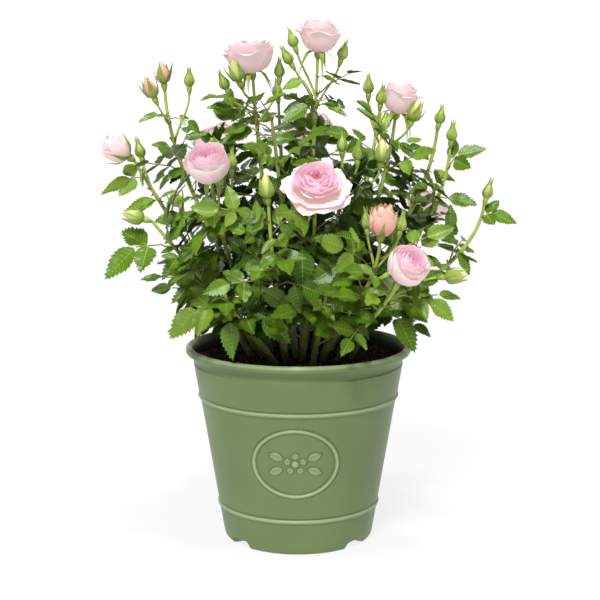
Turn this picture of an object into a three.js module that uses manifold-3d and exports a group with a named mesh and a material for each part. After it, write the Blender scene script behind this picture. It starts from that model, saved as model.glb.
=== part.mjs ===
// A patio rose in its pot: a round plastic pot with a rolled rim, moulded beads and an oval medallion, filled with
// compost, from which canes rise and carry leaves, roses and buds. Millimetres, +Z up. The origin is the centre of
// the pot's flat underside, and the medallion looks along -Y.
//
// Each cane is one bare tapering limb. Above it, 0.3 mm clear, starts one mass of foliage: the same cane going on,
// with its side stalks, flowers, buds and leaves all fused to it. Every mass keeps clear of the others.
import * as THREE from "three";
import { mergeVertices } from "three/addons/utils/BufferGeometryUtils.js";
import Module from "manifold-3d";

const wasm = await Module();
wasm.setup();

const deg = THREE.MathUtils.degToRad;
const mix = THREE.MathUtils.lerp;
const vec = (x, y, z) => new THREE.Vector3(x, y, z);
const unit = (v) => v.clone().normalize();
const UP = vec(0, 0, 1);
const GAP = 0.3; // clearance between solids that touch on the real plant

// ---------------------------------------------------------------- driving dimensions: pot and compost

const POT = {
  height: 196,
  footRadius: 72, // of the flat underside
  wallAtBase: 74.7, // outer radius that the wall's slope has at the underside
  slope: 0.165, // growth of the radius with height
  wall: 2.2,
  floor: 9,
  segments: 40,
};
const BEADS = [
  { z: 35, half: 2.2, proud: 1.5 },
  { z: 145, half: 2.4, proud: 1.4 },
];
const SHOULDER = 0.8; // the wall is this much wider above the upper bead
const RIM = { radius: 113, inner: 106.6, cove: 184, underside: 189, neck: 179, neckDepth: 1 };
const MEDALLION = { z: 96.5, halfWidth: 41.5, halfHeight: 35.5, band: 3.4, relief: 1.5, turn: -1.8 };
const ROSETTE = { petals: 5, heart: 3.6, petalReach: 11.5, petalWidth: 6.5, leafReach: 27, leafWidth: 8, relief: 1.3 };
const FEET = { gapsAt: [50, 130, 230, 310], gapAngle: 18, height: 6.5, depth: 14 };
const SOIL = { top: 184, atWall: 182, flatRadius: 62 };

// ---------------------------------------------------------------- driving dimensions: the plant

const CANE = { foot: 3.3, tip: 1.2, sides: 5, bareSteps: 3, leafySteps: 4 }; // radii at the compost and the flower
const STALK = { radius: 1, steps: 3 }; // a side stalk, which carries one flower or bud

const LEAF = {
  stalk: 22, // from the stem to the first pair, in a full-sized leaf
  rachis: 33, // from there to the end leaflet
  thick: 1.1, // corner radius of the three-sided stalk
  root: 1.3, // half the length over which a leaflet joins the rachis
  blade: 43, // length of the end leaflet
  pairs: [[0, 0.72], [0.52, 0.88]], // each pair's place on the rachis, and its length to the end leaflet's
  breadth: 0.6, // of a leaflet's length
  widest: 0.44, // where along the leaflet
  keel: 0.08, // how far the midrib lies below the edges, twice, to half the breadth
  curl: 0.08, // how far the tip bends down, to the length
  forward: 0.5, // how much the side leaflets point ahead
  rise: 55, // angle between the stem and the leaf's stalk
  droop: [0.02, 0.4],
  lowDroop: 0.15, // more droop for the lowest leaves
  roll: 70,
  sun: [-0.15, -0.5, 0.85], // where the light comes from that the leaves face
  lean: 0.45, // how far they also face the side that they grow on
  outwards: 0.8, // leaves crowd to the outer side of their stem
  goldenTurn: 137.5,
  attempts: [0, 40, -40, 80, -80], // a leaf that would touch a neighbour is turned aside
  fewFrom: 0.7, // leaves in the top of their stem have three leaflets instead of five
  highest: 0.88, // the top leaf's place on a flowering stem
  highestLeafy: 0.97,
  smallest: 0.85, // the top leaf's size
};

// The crown's outline: its height, its radius, and how far it goes to the left and to the right. Only the leaves
// that are placed one by one reach out of it.
const CROWN = [
  [190, 78, -72, 92], [205, 112, -92, 104], [222, 138, -112, 110], [241, 152, -126, 120], [262, 168, -130, 132],
  [282, 178, -128, 150], [302, 190, -142, 150], [325, 200, -146, 156], [345, 200, -152, 150], [365, 196, -150, 148],
  [385, 190, -134, 142], [403, 180, -124, 118], [425, 160, -120, 96], [445, 130, -96, 80], [463, 100, -50, 48],
  [490, 60, -28, 32], [515, 40, -22, 28],
];

// Each flower's outline: [radius, height] as shares of its width and height, from its calyx up.
const FLOWERS = {
  cup: { sides: 8, outline: [[0.1, 0.14], [0.24, 0.22], [0.48, 0.56], [0.47, 0.84], [0.27, 1]] },
  full: { sides: 9, outline: [[0.07, 0.18], [0.2, 0.28], [0.52, 0.62], [0.46, 0.82], [0.24, 1]] },
  half: { sides: 7, outline: [[0.14, 0.2], [0.38, 0.34], [0.5, 0.6], [0.3, 1]] },
  tint: { sides: 5, outline: [[0.26, 0.16], [0.52, 0.42], [0.36, 0.78], [0.08, 1]] },
  green: { sides: 4, outline: [[0.3, 0.16], [0.52, 0.4], [0.07, 1]] },
};
const rose = (kind, width, height, look) => ({ kind, width, height, look });
const tintBud = (look = [0, 0, 1]) => rose("tint", 17, 31, look);
const greenBud = (look = [0, 0, 1]) => rose("green", 11, 29, look);
const stalk = (at, by, flower) => ({ at, by, flower });

// The flowering shoots. foot is where the cane leaves the compost and tip where its flower sits. bare is the share
// of the cane below its leaves, and turn the bearing of the lowest one. A side stalk leaves the cane at a share of
// its length and reaches by [x, y, z] to its own flower, which looks along its last three numbers.
const SHOOTS = [
  { name: "left_front", foot: [-34, -16], tip: [-81, -70, 364], bare: 0.32, leaves: 4, turn: 150, seed: 11,
    flower: rose("cup", 42, 38, [-0.1, -0.62, 0.75]),
    stalks: [stalk(0.72, [0, -24, 36], greenBud([0.1, -0.2, 1])), stalk(0.66, [9, -15, 62], greenBud())] },
  { name: "left_low", foot: [-38, 4], tip: [-159, -20, 381], bare: 0.32, leaves: 4, turn: 307, seed: 12,
    flower: rose("half", 27, 34, [-0.72, -0.2, 0.5]),
    stalks: [stalk(0.84, [-9, 8, 24], greenBud([-0.25, 0, 1]))] },
  { name: "left_bud", foot: [-26, -27], tip: [-139, -52, 325], bare: 0.34, leaves: 3, turn: 85, seed: 13,
    flower: tintBud([-0.95, -0.1, 0.3]), stalks: [] },
  { name: "left_tall", foot: [-27, 18], tip: [-131, 10, 446], bare: 0.3, leaves: 4, turn: 80, seed: 14,
    flower: tintBud([-0.1, 0, 1]),
    stalks: [stalk(0.87, [-11, -6, 20], tintBud([-0.45, 0, 1])), stalk(0.8, [15, 3, 48], greenBud())] },
  { name: "mid_left", foot: [-14, -4], tip: [-44, 0, 458], bare: 0.3, leaves: 4, turn: 310, seed: 15,
    flower: rose("cup", 50, 36, [-0.12, -0.08, 1]),
    stalks: [
      stalk(0.86, [-25, -1, 19], greenBud([-0.45, 0, 1])),
      stalk(0.9, [-12, -13, 16], tintBud([-0.35, -0.2, 1])),
      stalk(0.82, [22, 9, 40], greenBud()),
    ] },
  { name: "top", foot: [4, 8], tip: [19, 10, 478], bare: 0.3, leaves: 4, turn: 200, seed: 16,
    flower: rose("cup", 41, 36, [0.08, -0.08, 1]),
    stalks: [
      stalk(0.86, [-18, 1, 42], greenBud([-0.35, 0, 1])),
      stalk(0.83, [-20, -7, 35], greenBud([-0.6, -0.1, 1])),
      stalk(0.82, [23, 7, 41], greenBud([0.3, 0, 1])),
    ] },
  { name: "right_mid", foot: [25, -4], tip: [94, -10, 420], bare: 0.26, leaves: 5, turn: 30, seed: 17,
    flower: rose("cup", 37, 34, [0.2, -0.1, 1]),
    stalks: [
      stalk(0.88, [16, -11, 18], tintBud([0.4, -0.1, 1])),
      stalk(0.78, [-17, 8, 66], greenBud()),
      stalk(0.82, [-9, -10, 48], greenBud([0.1, -0.2, 1])),
    ] },
  { name: "right_tall", foot: [32, 20], tip: [138, 20, 407], bare: 0.26, leaves: 4, turn: 260, seed: 19,
    flower: greenBud([0.2, 0, 1]), stalks: [] },
  { name: "right_out", foot: [40, 6], tip: [149, -2, 391], bare: 0.32, leaves: 4, turn: 40, seed: 20,
    flower: greenBud([0.1, 0, 1]), stalks: [] },
  { name: "far_right", foot: [42, -10], tip: [182, -12, 336], bare: 0.38, leaves: 3, turn: 307, seed: 21,
    flower: greenBud([0.25, 0, 1]), stalks: [] },
  { name: "right_front", foot: [24, -26], tip: [75, -106, 312], bare: 0.5, leaves: 2, turn: 280, seed: 22,
    flower: rose("half", 29, 36, [0.1, -0.25, 1]),
    stalks: [stalk(0.78, [22, -7, 32], greenBud([0.2, 0, 1])), stalk(0.8, [-6, 6, 30], greenBud([-0.1, 0, 1]))] },
  { name: "right_low", foot: [38, -30], tip: [91, -114, 280], bare: 0.4, leaves: 3, turn: 340, seed: 23,
    flower: rose("cup", 42, 38, [0.35, -0.72, 0.6]),
    stalks: [stalk(0.74, [47, 4, 23], tintBud([0.95, -0.1, 0.1]))] },
  { name: "centre_front", foot: [4, -30], tip: [16, -94, 350], bare: 0.28, leaves: 4, turn: 210, seed: 24,
    flower: rose("full", 64, 32, [0.03, -0.62, 0.78]),
    stalks: [stalk(0.8, [-20, -21, 26], greenBud([-0.2, -0.2, 1]))] },
  { name: "centre_left", foot: [-12, -36], tip: [-27, -108, 345], bare: 0.28, leaves: 4, turn: 120, seed: 25,
    flower: tintBud([-0.1, -0.1, 1]), stalks: [] },
  { name: "inner_right", foot: [16, 30], tip: [42, -40, 383], bare: 0.28, leaves: 5, turn: 60, seed: 26,
    flower: greenBud(),
    stalks: [stalk(0.85, [15, -7, 21], greenBud([0.05, 0, 1])), stalk(0.78, [37, -18, 33], tintBud([0.1, -0.1, 1]))] },
  { name: "back_high", foot: [-8, 26], tip: [-20, 56, 432], bare: 0.3, leaves: 7, turn: 15, seed: 32,
    flower: greenBud([-0.1, 0.1, 1]), stalks: [] },
  { name: "back_left", foot: [-26, 40], tip: [-80, 96, 372], bare: 0.28, leaves: 6, turn: 170, seed: 27,
    flower: rose("cup", 44, 38, [-0.3, 0.6, 0.7]),
    stalks: [stalk(0.8, [-18, 8, 40], greenBud([-0.2, 0.1, 1]))] },
  { name: "back_mid", foot: [4, 46], tip: [12, 122, 384], bare: 0.28, leaves: 6, turn: 90, seed: 28,
    flower: rose("cup", 46, 38, [0, 0.65, 0.7]),
    stalks: [stalk(0.8, [16, 10, 40], greenBud([0.2, 0.1, 1]))] },
  { name: "back_right", foot: [30, 40], tip: [80, 84, 398], bare: 0.28, leaves: 6, turn: 10, seed: 29,
    flower: tintBud([0.3, 0.4, 0.85]),
    stalks: [stalk(0.8, [14, 8, 40], greenBud([0.2, 0.1, 1]))] },
  { name: "back_low_left", foot: [-44, 28], tip: [-122, 104, 318], bare: 0.3, leaves: 5, turn: 190, seed: 30,
    flower: tintBud([-0.5, 0.4, 0.8]), stalks: [] },
  { name: "back_low_right", foot: [48, 28], tip: [124, 104, 306], bare: 0.3, leaves: 5, turn: 40, seed: 31,
    flower: rose("cup", 42, 38, [0.5, 0.6, 0.6]), stalks: [] },
];

// Leafy shoots bear no flower. They fill the crown's middle and its skirt.
const leafy = (name, foot, tip, leaves, turn, seed) => ({
  name, foot, tip, bare: 0.45, leaves, turn, seed, flower: null, stalks: [],
});
SHOOTS.push(
  leafy("inner_left", [-2, -16], [-26, -30, 424], 6, 75, 46),
  leafy("skirt_front_left", [-22, -42], [-70, -86, 262], 4, 225, 41),
  leafy("skirt_front", [14, -46], [26, -96, 262], 5, 270, 42),
  leafy("skirt_left", [-48, -8], [-88, -30, 284], 4, 200, 43),
  leafy("skirt_right", [52, -22], [86, -44, 274], 4, 320, 44),
  leafy("skirt_back", [8, 60], [16, 108, 275], 5, 90, 45),
);

// Leaves that are placed one by one, at the crown's edge and its front: the share of the stem's length where the
// leaf's stalk starts, where its end leaflet starts, where that leaflet's tip lies, and its pairs of side leaflets.
const PLACED = {
  left_front: [[0.5, [-49, -84, 291], [-23, -96, 275], 1]],
  left_low: [[0.9, [-163, -16, 364], [-193, -22, 348], 1], [0.78, [-138, -16, 343], [-168, -26, 336], 1]],
  left_bud: [[0.8, [-154, -62, 302], [-185, -70, 273], 1], [0.7, [-111, -54, 291], [-132, -62, 272], 1],
    [0.85, [-109, -54, 321], [-128, -62, 305], 0]],
  left_tall: [[0.9, [-136, 4, 424], [-157, -4, 419], 1], [0.9, [-110, 14, 418], [-96, 18, 406], 1],
    [0.67, [-126, 0, 393], [-159, -8, 399], 1], [0.64, [-109, -4, 373], [-129, -14, 362], 0]],
  mid_left: [[0.85, [-62, -6, 432], [-90, -12, 434], 1], [0.8, [-43, -10, 410], [-78, -20, 400], 0],
    [0.67, [-47, -14, 391], [-76, -22, 401], 1], [0.78, [-28, -4, 400], [-1, -8, 402], 0]],
  top: [[0.76, [10, -2, 434], [-17, -12, 417], 1], [0.84, [5, 6, 458], [-17, 2, 451], 0],
    [0.82, [24, 2, 435], [48, -4, 423], 1], [0.93, [23, 4, 462], [42, 0, 453], 0],
    [0.65, [12, -6, 395], [-9, -12, 401], 1]],
  right_mid: [[0.8, [50, -14, 405], [22, -22, 411], 1], [0.88, [98, -14, 398], [113, -20, 382], 0]],
  right_tall: [[0.82, [133, 16, 367], [158, 12, 361], 0], [0.76, [129, 8, 354], [108, 2, 348], 1]],
  right_out: [[0.9, [155, -8, 385], [184, -12, 394], 1], [0.77, [146, -8, 343], [176, -14, 340], 0]],
  far_right: [[0.93, [187, -16, 329], [215, -20, 322], 1], [0.72, [149, -18, 313], [149, -18, 339], 1],
    [0.68, [155, -26, 292], [169, -32, 270], 1]],
  right_front: [[0.62, [45, -102, 295], [9, -116, 275], 1]],
  right_low: [[0.8, [122, -98, 257], [146, -104, 239], 1]],
  centre_front: [[0.62, [4, -106, 307], [4, -118, 269], 1]],
  centre_left: [[0.9, [-34, -114, 340], [-53, -120, 330], 0], [0.35, [-33, -94, 241], [-7, -104, 217], 1]],
  skirt_front_left: [[0.8, [-95, -84, 247], [-122, -88, 218], 1], [0.55, [-63, -90, 236], [-63, -102, 200], 1]],
  skirt_left: [[0.75, [-95, -40, 263], [-124, -52, 249], 1], [0.85, [-84, -38, 271], [-108, -46, 276], 0]],
  skirt_right: [[0.9, [100, -62, 246], [125, -70, 233], 1], [0.75, [94, -74, 236], [112, -86, 205], 1]],
};
// A placed leaf's stalk: where it bends, how far it rises there, and how far its leaflets droop. A leaf that would
// touch a neighbour is moved forwards or backwards.
const BOW = { knee: 0.35, rise: 0.08, droop: 0.2, attempts: [0, -8, 8, -16, 16] };

// ---------------------------------------------------------------- solids

// A closed mesh as a solid. Vertices that lie within weld of each other become one.
function solid(geometry, weld = 1e-4) {
  const bare = geometry.clone();
  for (const name of ["normal", "uv"]) bare.deleteAttribute(name);
  const merged = mergeVertices(bare, weld);
  const vertProperties = new Float32Array(merged.attributes.position.array);
  const triVerts = new Uint32Array(merged.index.array);
  return new wasm.Manifold(new wasm.Mesh({ numProp: 3, vertProperties, triVerts }));
}

// A solid's surface as a geometry.
function surface(made) {
  const { numVert, numProp, vertProperties, triVerts } = made.getMesh();
  const points = new Float32Array(numVert * 3);
  for (let i = 0; i < numVert; i++) points.set(vertProperties.subarray(i * numProp, i * numProp + 3), i * 3);
  const geometry = new THREE.BufferGeometry();
  geometry.setAttribute("position", new THREE.BufferAttribute(points, 3));
  geometry.setIndex(new THREE.BufferAttribute(triVerts, 1));
  geometry.computeVertexNormals();
  return geometry;
}

const largest = (made) => made.decompose().sort((a, b) => b.volume() - a.volume())[0];
const unite = (parts) => wasm.Manifold.union(parts);

// A solid without slivers, welded as coarsely as its stored vertices, and without crumbs.
function cleaned(made) {
  return largest(solid(surface(largest(made.simplify(0.01))), 1e-3));
}

// Moves every vertex of a geometry by a rule.
function warp(geometry, rule) {
  const at = geometry.attributes.position;
  for (let i = 0; i < at.count; i++) {
    const p = rule(vec(at.getX(i), at.getY(i), at.getZ(i)));
    at.setXYZ(i, p.x, p.y, p.z);
  }
  return geometry;
}

// A closed mesh from triangles of corners.
function woven(triangles) {
  const geometry = new THREE.BufferGeometry();
  const corners = triangles.flat().flatMap((p) => p.toArray());
  geometry.setAttribute("position", new THREE.Float32BufferAttribute(corners, 3));
  return solid(geometry);
}

// A turned shape about +Z. The outline is [radius, height] pairs that start and end on the axis.
function turned(outline) {
  const points = outline.map(([r, z]) => new THREE.Vector2(r, z));
  return solid(new THREE.LatheGeometry(points, POT.segments).rotateX(Math.PI / 2));
}

// ---------------------------------------------------------------- the pot

const slopeRadius = (z) => POT.wallAtBase + POT.slope * z;
const outerRadius = (z) => slopeRadius(z) + (z > BEADS[1].z ? SHOULDER : 0);
const innerRadius = (z) => slopeRadius(z) - POT.wall;

// The wall's outer outline from the foot to under the rim. proud moves all of it outwards.
function wallOutline(proud) {
  const beads = BEADS.flatMap(({ z, half, proud: height }) => [
    [outerRadius(z - half), z - half],
    [slopeRadius(z) + height, z],
    [outerRadius(z + half), z + half],
  ]);
  const outline = [
    [POT.footRadius - 1, 0],
    [POT.footRadius, 1],
    [outerRadius(8), 8],
    ...beads,
    [outerRadius(RIM.neck), RIM.neck - 0.5],
    [outerRadius(RIM.neck) - RIM.neckDepth, RIM.neck + 0.5],
    [outerRadius(RIM.cove) - RIM.neckDepth, RIM.cove],
  ];
  return outline.map(([r, z]) => [r + proud, z]);
}

function shell() {
  const lip = [
    [RIM.radius - 2.4, RIM.underside],
    [RIM.radius, RIM.underside + 2],
    [RIM.radius - 0.8, POT.height - 1.6],
    [RIM.radius - 3.6, POT.height],
    [RIM.inner, POT.height - 1],
    [RIM.inner - 2, POT.height - 6],
    [innerRadius(SOIL.top), SOIL.top - 8],
  ];
  const inside = [
    [innerRadius(POT.floor + 2), POT.floor + 2],
    [innerRadius(POT.floor + 2) - 2, POT.floor],
  ];
  return turned([[0, 0], ...wallOutline(0), ...lip, ...inside, [0, POT.floor]]);
}

// The gaps between the feet, where water runs off.
function footGaps() {
  const width = 2 * POT.footRadius * Math.sin(deg(FEET.gapAngle / 2));
  return FEET.gapsAt.map((bearing) => {
    const gap = new THREE.BoxGeometry(width, 2 * FEET.depth, 2 * FEET.height);
    return solid(gap.translate(0, -POT.footRadius - 2, 0).rotateZ(deg(bearing)));
  });
}

// A flat motif, drawn as seen from the front, that stands out of the wall by relief.
function raised(motif, relief) {
  const stamp = new THREE.ExtrudeGeometry(motif, { depth: 60, bevelEnabled: false, curveSegments: 6 });
  stamp.rotateX(Math.PI / 2).translate(0, 12 - POT.footRadius, MEDALLION.z).rotateZ(deg(MEDALLION.turn));
  const skin = turned([[0, 0], ...wallOutline(relief), [0, RIM.cove]]);
  const core = turned([[0, 0], ...wallOutline(-1), [0, RIM.cove]]);
  return solid(stamp).intersect(skin).subtract(core);
}

function oval(inset) {
  const { halfWidth, halfHeight } = MEDALLION;
  return new THREE.Shape().absellipse(0, 0, halfWidth - inset, halfHeight - inset, 0, 2 * Math.PI);
}

function ovalRing() {
  const ring = oval(0);
  ring.holes.push(oval(MEDALLION.band));
  return ring;
}

// A pointed petal or leaf that lies along a bearing, between two distances from the centre.
function blade(from, reach, width, bearing) {
  const at = (along, across) => [
    along * Math.cos(bearing) - across * Math.sin(bearing),
    along * Math.sin(bearing) + across * Math.cos(bearing),
  ];
  const middle = (from + reach) / 2;
  return new THREE.Shape()
    .moveTo(...at(from, 0))
    .quadraticCurveTo(...at(middle, -width), ...at(reach, 0))
    .quadraticCurveTo(...at(middle, width), ...at(from, 0));
}

// The medallion's plain ornament: a rosette between two pairs of leaves.
function rosette() {
  const { petals, heart, petalReach, petalWidth, leafReach, leafWidth } = ROSETTE;
  const disc = new THREE.Shape().absarc(0, 0, heart, 0, 2 * Math.PI);
  const ring = Array.from({ length: petals }, (_, i) =>
    blade(heart + 1.2, petalReach, petalWidth, deg(90 + (i * 360) / petals)),
  );
  const leaves = [22, -22, 158, 202].map((bearing) => blade(petalReach + 1, leafReach, leafWidth, deg(bearing)));
  return [disc, ...ring, ...leaves];
}

function pot() {
  const ornament = rosette().map((motif) => raised(motif, ROSETTE.relief));
  return unite([shell(), raised(ovalRing(), MEDALLION.relief), ...ornament]).subtract(unite(footGaps()));
}

function compost() {
  const radius = (z) => innerRadius(z) - GAP;
  const low = POT.floor + GAP;
  return turned([
    [0, low],
    [radius(POT.floor + 2) - 2, low],
    [radius(low + 2), low + 2],
    [radius(SOIL.top - 8), SOIL.atWall],
    [SOIL.flatRadius, SOIL.top],
    [0, SOIL.top],
  ]);
}

// ---------------------------------------------------------------- limbs and flowers

// A tapering limb of closed section through stations of { at, along, radius }. Its foot can be cut level.
function limb(stations, sides, level = null) {
  const bar = new THREE.CylinderGeometry(1, 1, 1, sides, stations.length - 1);
  const made = warp(bar, (p) => {
    const i = Math.round((p.y + 0.5) * (stations.length - 1));
    const { at, along, radius } = stations[i];
    const side = unit((Math.abs(along.x) > 0.9 ? vec(0, 1, 0) : vec(1, 0, 0)).cross(along));
    const corner = at.clone().addScaledVector(side, p.z * radius);
    corner.addScaledVector(along.clone().cross(side), p.x * radius);
    return i === 0 && level !== null ? corner.addScaledVector(along, (level - corner.z) / along.z) : corner;
  });
  return solid(made);
}

// Stations of a curve between two shares of its length, as thick as radius says at each.
function stationsOf(curve, from, to, steps, radius) {
  const shares = Array.from({ length: steps + 1 }, (_, i) => mix(from, to, i / steps));
  return shares.map((s) => ({ at: curve.getPoint(s), along: unit(curve.getTangent(s)), radius: radius(s) }));
}

// The way of a cane from the compost to its flower: it leans out, then turns to where the flower looks.
function caneWay({ foot: [x, y], tip: end, flower }) {
  const foot = vec(x, y, SOIL.top + GAP);
  const tip = vec(...end);
  const reach = foot.distanceTo(tip);
  const outward = vec(tip.x - foot.x, tip.y - foot.y, 0).divideScalar(reach);
  const start = unit(UP.clone().addScaledVector(outward, 1.15));
  const look = flower ? unit(vec(...flower.look)) : unit(outward.clone().addScaledVector(UP, 0.35));
  const finish = unit(look.addScaledVector(UP, 0.9));
  const low = foot.clone().addScaledVector(start, reach * 0.36);
  return new THREE.CubicBezierCurve3(foot, low, tip.clone().addScaledVector(finish, -reach * 0.3), tip);
}

const caneRadius = (share) => mix(CANE.foot, CANE.tip, share ** 0.8);

// A side stalk leaves its cane, swings out and rises to its flower.
function stalkWay(way, { at, by, flower }) {
  const from = way.getPoint(at);
  const to = from.clone().add(vec(...by));
  const reach = from.distanceTo(to);
  const out = unit(vec(...by).addScaledVector(way.getTangent(at), reach * 0.4));
  const low = from.clone().addScaledVector(out, reach * 0.35);
  const high = to.clone().addScaledVector(unit(vec(...flower.look)), -reach * 0.3);
  return new THREE.CubicBezierCurve3(from, low, high, to);
}

// A stem goes on as its flower, which swells, flares and closes over its heart.
function stem(way, from, steps, radius, flower) {
  const run = stationsOf(way, from, 1, steps, radius);
  if (!flower) return limb(run, CANE.sides);
  const along = unit(vec(...flower.look));
  const { sides, outline } = FLOWERS[flower.kind];
  const head = outline.map(([r, h]) => ({
    at: way.getPoint(1).addScaledVector(along, h * flower.height),
    along,
    radius: r * flower.width,
  }));
  return limb([...run, ...head], sides);
}

// ---------------------------------------------------------------- leaves

// Numbers from 0 to 1 that a seed always gives in the same order.
function random(seed) {
  let state = seed * 7919 + 17;
  return () => {
    state = (1664525 * state + 1013904223) % 4294967296;
    return state / 4294967296;
  };
}

// Where a leaf's stalk starts and runs, and where its leaflets lie. One rule gives every leaf of the plant.
function leafPlan(shoot, way, index, attempt) {
  const draw = random(shoot.seed * 64 + index);
  const rank = index / (shoot.leaves - 1);
  const highest = shoot.flower ? LEAF.highest : LEAF.highestLeafy;
  const share = mix(shoot.bare + 0.04, highest, rank) + (draw() - 0.5) * 0.03;
  const size = mix(1, LEAF.smallest, rank ** 1.5) * mix(0.9, 1.1, draw());
  const spin = shoot.turn + index * LEAF.goldenTurn + (draw() - 0.5) * 30 + LEAF.attempts[attempt];
  const droop = mix(...LEAF.droop, draw()) + LEAF.lowDroop * (1 - rank);
  const roll = deg((draw() - 0.5) * LEAF.roll);
  const pairs = rank > LEAF.fewFrom ? LEAF.pairs.slice(1) : LEAF.pairs;

  // The stalk leaves the stem to its own side, rises, and falls again towards the leaf's end.
  const at = way.getPoint(share);
  const along = unit(way.getTangent(share));
  const outward = unit(vec(at.x, at.y, 0));
  const aside = (((spin % 360) + 540) % 360) - 180;
  const bearing = outward.clone().applyAxisAngle(UP, deg(aside * LEAF.outwards));
  bearing.addScaledVector(along, -bearing.dot(along)).normalize();
  const heading = bearing.multiplyScalar(Math.sin(deg(LEAF.rise))).addScaledVector(along, Math.cos(deg(LEAF.rise)));
  const light = unit(vec(...LEAF.sun).addScaledVector(outward, LEAF.lean));
  const stalkFrame = leafFrame(unit(heading), light, roll);
  const frame = leafFrame(unit(heading.addScaledVector(UP, -droop)), light, roll);
  const knee = at.clone().addScaledVector(stalkFrame.heading, LEAF.stalk * size);
  const end = knee.clone().addScaledVector(frame.heading, LEAF.rachis * size);

  const leaflets = sideLeaflets({ knee, end, frame, size, pairs }, droop, draw);
  const tipAim = unit(frame.heading.clone().addScaledVector(UP, -droop * 0.5));
  leaflets.push({ place: 1, side: 0, ...leafletCorners(end, tipAim, frame.face, LEAF.blade * size) });
  return { at, knee, end, stalkFrame, frame, size, pairs, leaflets };
}

// The pairs of leaflets along a rachis.
function sideLeaflets({ knee, end, frame, size, pairs }, droop, draw) {
  return pairs.flatMap(([place, share]) =>
    [1, -1].map((side) => {
      const aim = frame.heading.clone().multiplyScalar(LEAF.forward).addScaledVector(frame.sideways, side);
      aim.addScaledVector(UP, -droop * 0.3);
      const length = LEAF.blade * size * share * mix(0.94, 1.06, draw());
      return { place, side, ...leafletCorners(knee.clone().lerp(end, place), unit(aim), frame.face, length) };
    }),
  );
}

// The same for a leaf that is placed: its stalk bows up from the stem to where its end leaflet starts.
function placedPlan(shoot, way, index, attempt) {
  const [share, start, reach, pairCount] = PLACED[shoot.name][index];
  const at = way.getPoint(share);
  const shift = vec(0, BOW.attempts[attempt], 0);
  const [end, tip] = [vec(...start).add(shift), vec(...reach).add(shift)];
  const length = end.distanceTo(tip);
  const knee = at.clone().lerp(end, BOW.knee).addScaledVector(UP, BOW.rise * at.distanceTo(end));
  const light = unit(vec(...LEAF.sun).addScaledVector(unit(vec(at.x, at.y, 0)), LEAF.lean));
  const stalkFrame = leafFrame(unit(knee.clone().sub(at)), light, 0);
  const plan = {
    at, knee, end, stalkFrame,
    frame: leafFrame(unit(end.clone().sub(knee)), light, 0),
    size: length / LEAF.blade,
    pairs: LEAF.pairs.slice(LEAF.pairs.length - pairCount),
  };
  const tipAim = unit(tip.sub(end));
  const leaflets = sideLeaflets(plan, BOW.droop, random(shoot.seed * 64 + 32 + index));
  leaflets.push({ place: 1, side: 0, ...leafletCorners(end, tipAim, leafFrame(tipAim, light, 0).face, length) });
  return { ...plan, leaflets };
}

// A heading with the leaf's face, turned to the light and rolled, and its right-hand side.
function leafFrame(heading, light, roll) {
  const face = light.clone().addScaledVector(heading, -light.dot(heading)).normalize();
  face.applyAxisAngle(heading, roll);
  return { heading, face, sideways: heading.clone().cross(face) };
}

// A leaflet's corners: a thin blade, widest near its middle, with a keel below along its midrib.
function leafletCorners(base, along, face, length) {
  const top = unit(face.clone().addScaledVector(along, -face.dot(along)));
  const across = along.clone().cross(top);
  const half = (length * LEAF.breadth) / 2;
  const corner = (ahead, aside, above) =>
    base.clone().addScaledVector(along, ahead).addScaledVector(across, aside).addScaledVector(top, above);
  return {
    base,
    right: corner(LEAF.widest * length, half, LEAF.keel * half),
    left: corner(LEAF.widest * length, -half, LEAF.keel * half),
    keel: corner(LEAF.widest * length, 0, -LEAF.keel * half),
    tip: corner(length, 0, -LEAF.curl * length),
  };
}

// A leaflet alone, to test its clearance.
function leafletAlone({ base, right, left, keel, tip }) {
  const rim = [left, right, keel];
  return woven(rim.flatMap((a, i) => [[a, base, rim[(i + 1) % 3]], [a, rim[(i + 1) % 3], tip]]));
}

// The corners of a leaf stalk's section: its top left, top right and bottom.
function stalkRing(centre, { face, sideways }, thick) {
  return [150, 30, 270].map((angle) =>
    centre
      .clone()
      .addScaledVector(sideways, Math.cos(deg(angle)) * thick)
      .addScaledVector(face, Math.sin(deg(angle)) * thick),
  );
}

// A leaf's stalk and rachis, three-sided, with its leaflets grown out of its sides and its end.
function leaf({ at, knee, end, stalkFrame, frame, size, pairs }, leaflets) {
  const thick = LEAF.thick * size;
  const rings = [{ corners: stalkRing(at, stalkFrame, thick) }];
  for (const [place] of pairs) {
    const centre = knee.clone().lerp(end, place);
    const before = place === 0 ? stalkFrame : frame;
    const from = centre.clone().addScaledVector(before.heading, -LEAF.root);
    const to = centre.clone().addScaledVector(frame.heading, LEAF.root);
    rings.push({ corners: stalkRing(from, before, thick), pair: leaflets.filter((l) => l.side && l.place === place) });
    rings.push({ corners: stalkRing(to, frame, thick) });
  }
  rings.push({ corners: stalkRing(end, frame, thick * 0.8) });

  const faces = [];
  rings.slice(1).forEach((next, i) => {
    const { corners: [leftA, rightA, lowA], pair = [] } = rings[i];
    const [leftB, rightB, lowB] = next.corners;
    const right = pair.find((l) => l.side > 0);
    const left = pair.find((l) => l.side < 0);
    faces.push([leftA, rightA, rightB], [leftA, rightB, leftB]);
    faces.push(...(right ? sideLeaflet(rightA, rightB, lowA, lowB, right) : [[rightA, lowA, lowB], [rightA, lowB, rightB]]));
    faces.push(...(left ? sideLeaflet(leftA, leftB, lowA, lowB, left) : [[lowA, leftA, leftB], [lowA, leftB, lowB]]));
  });
  const [left0, right0, low0] = rings[0].corners;
  faces.push([left0, low0, right0]);
  const last = rings.at(-1).corners;
  const endLeaflet = leaflets.find((l) => !l.side);
  return woven([...faces, ...(endLeaflet ? endBlade(last, endLeaflet) : [last])]);
}

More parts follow.
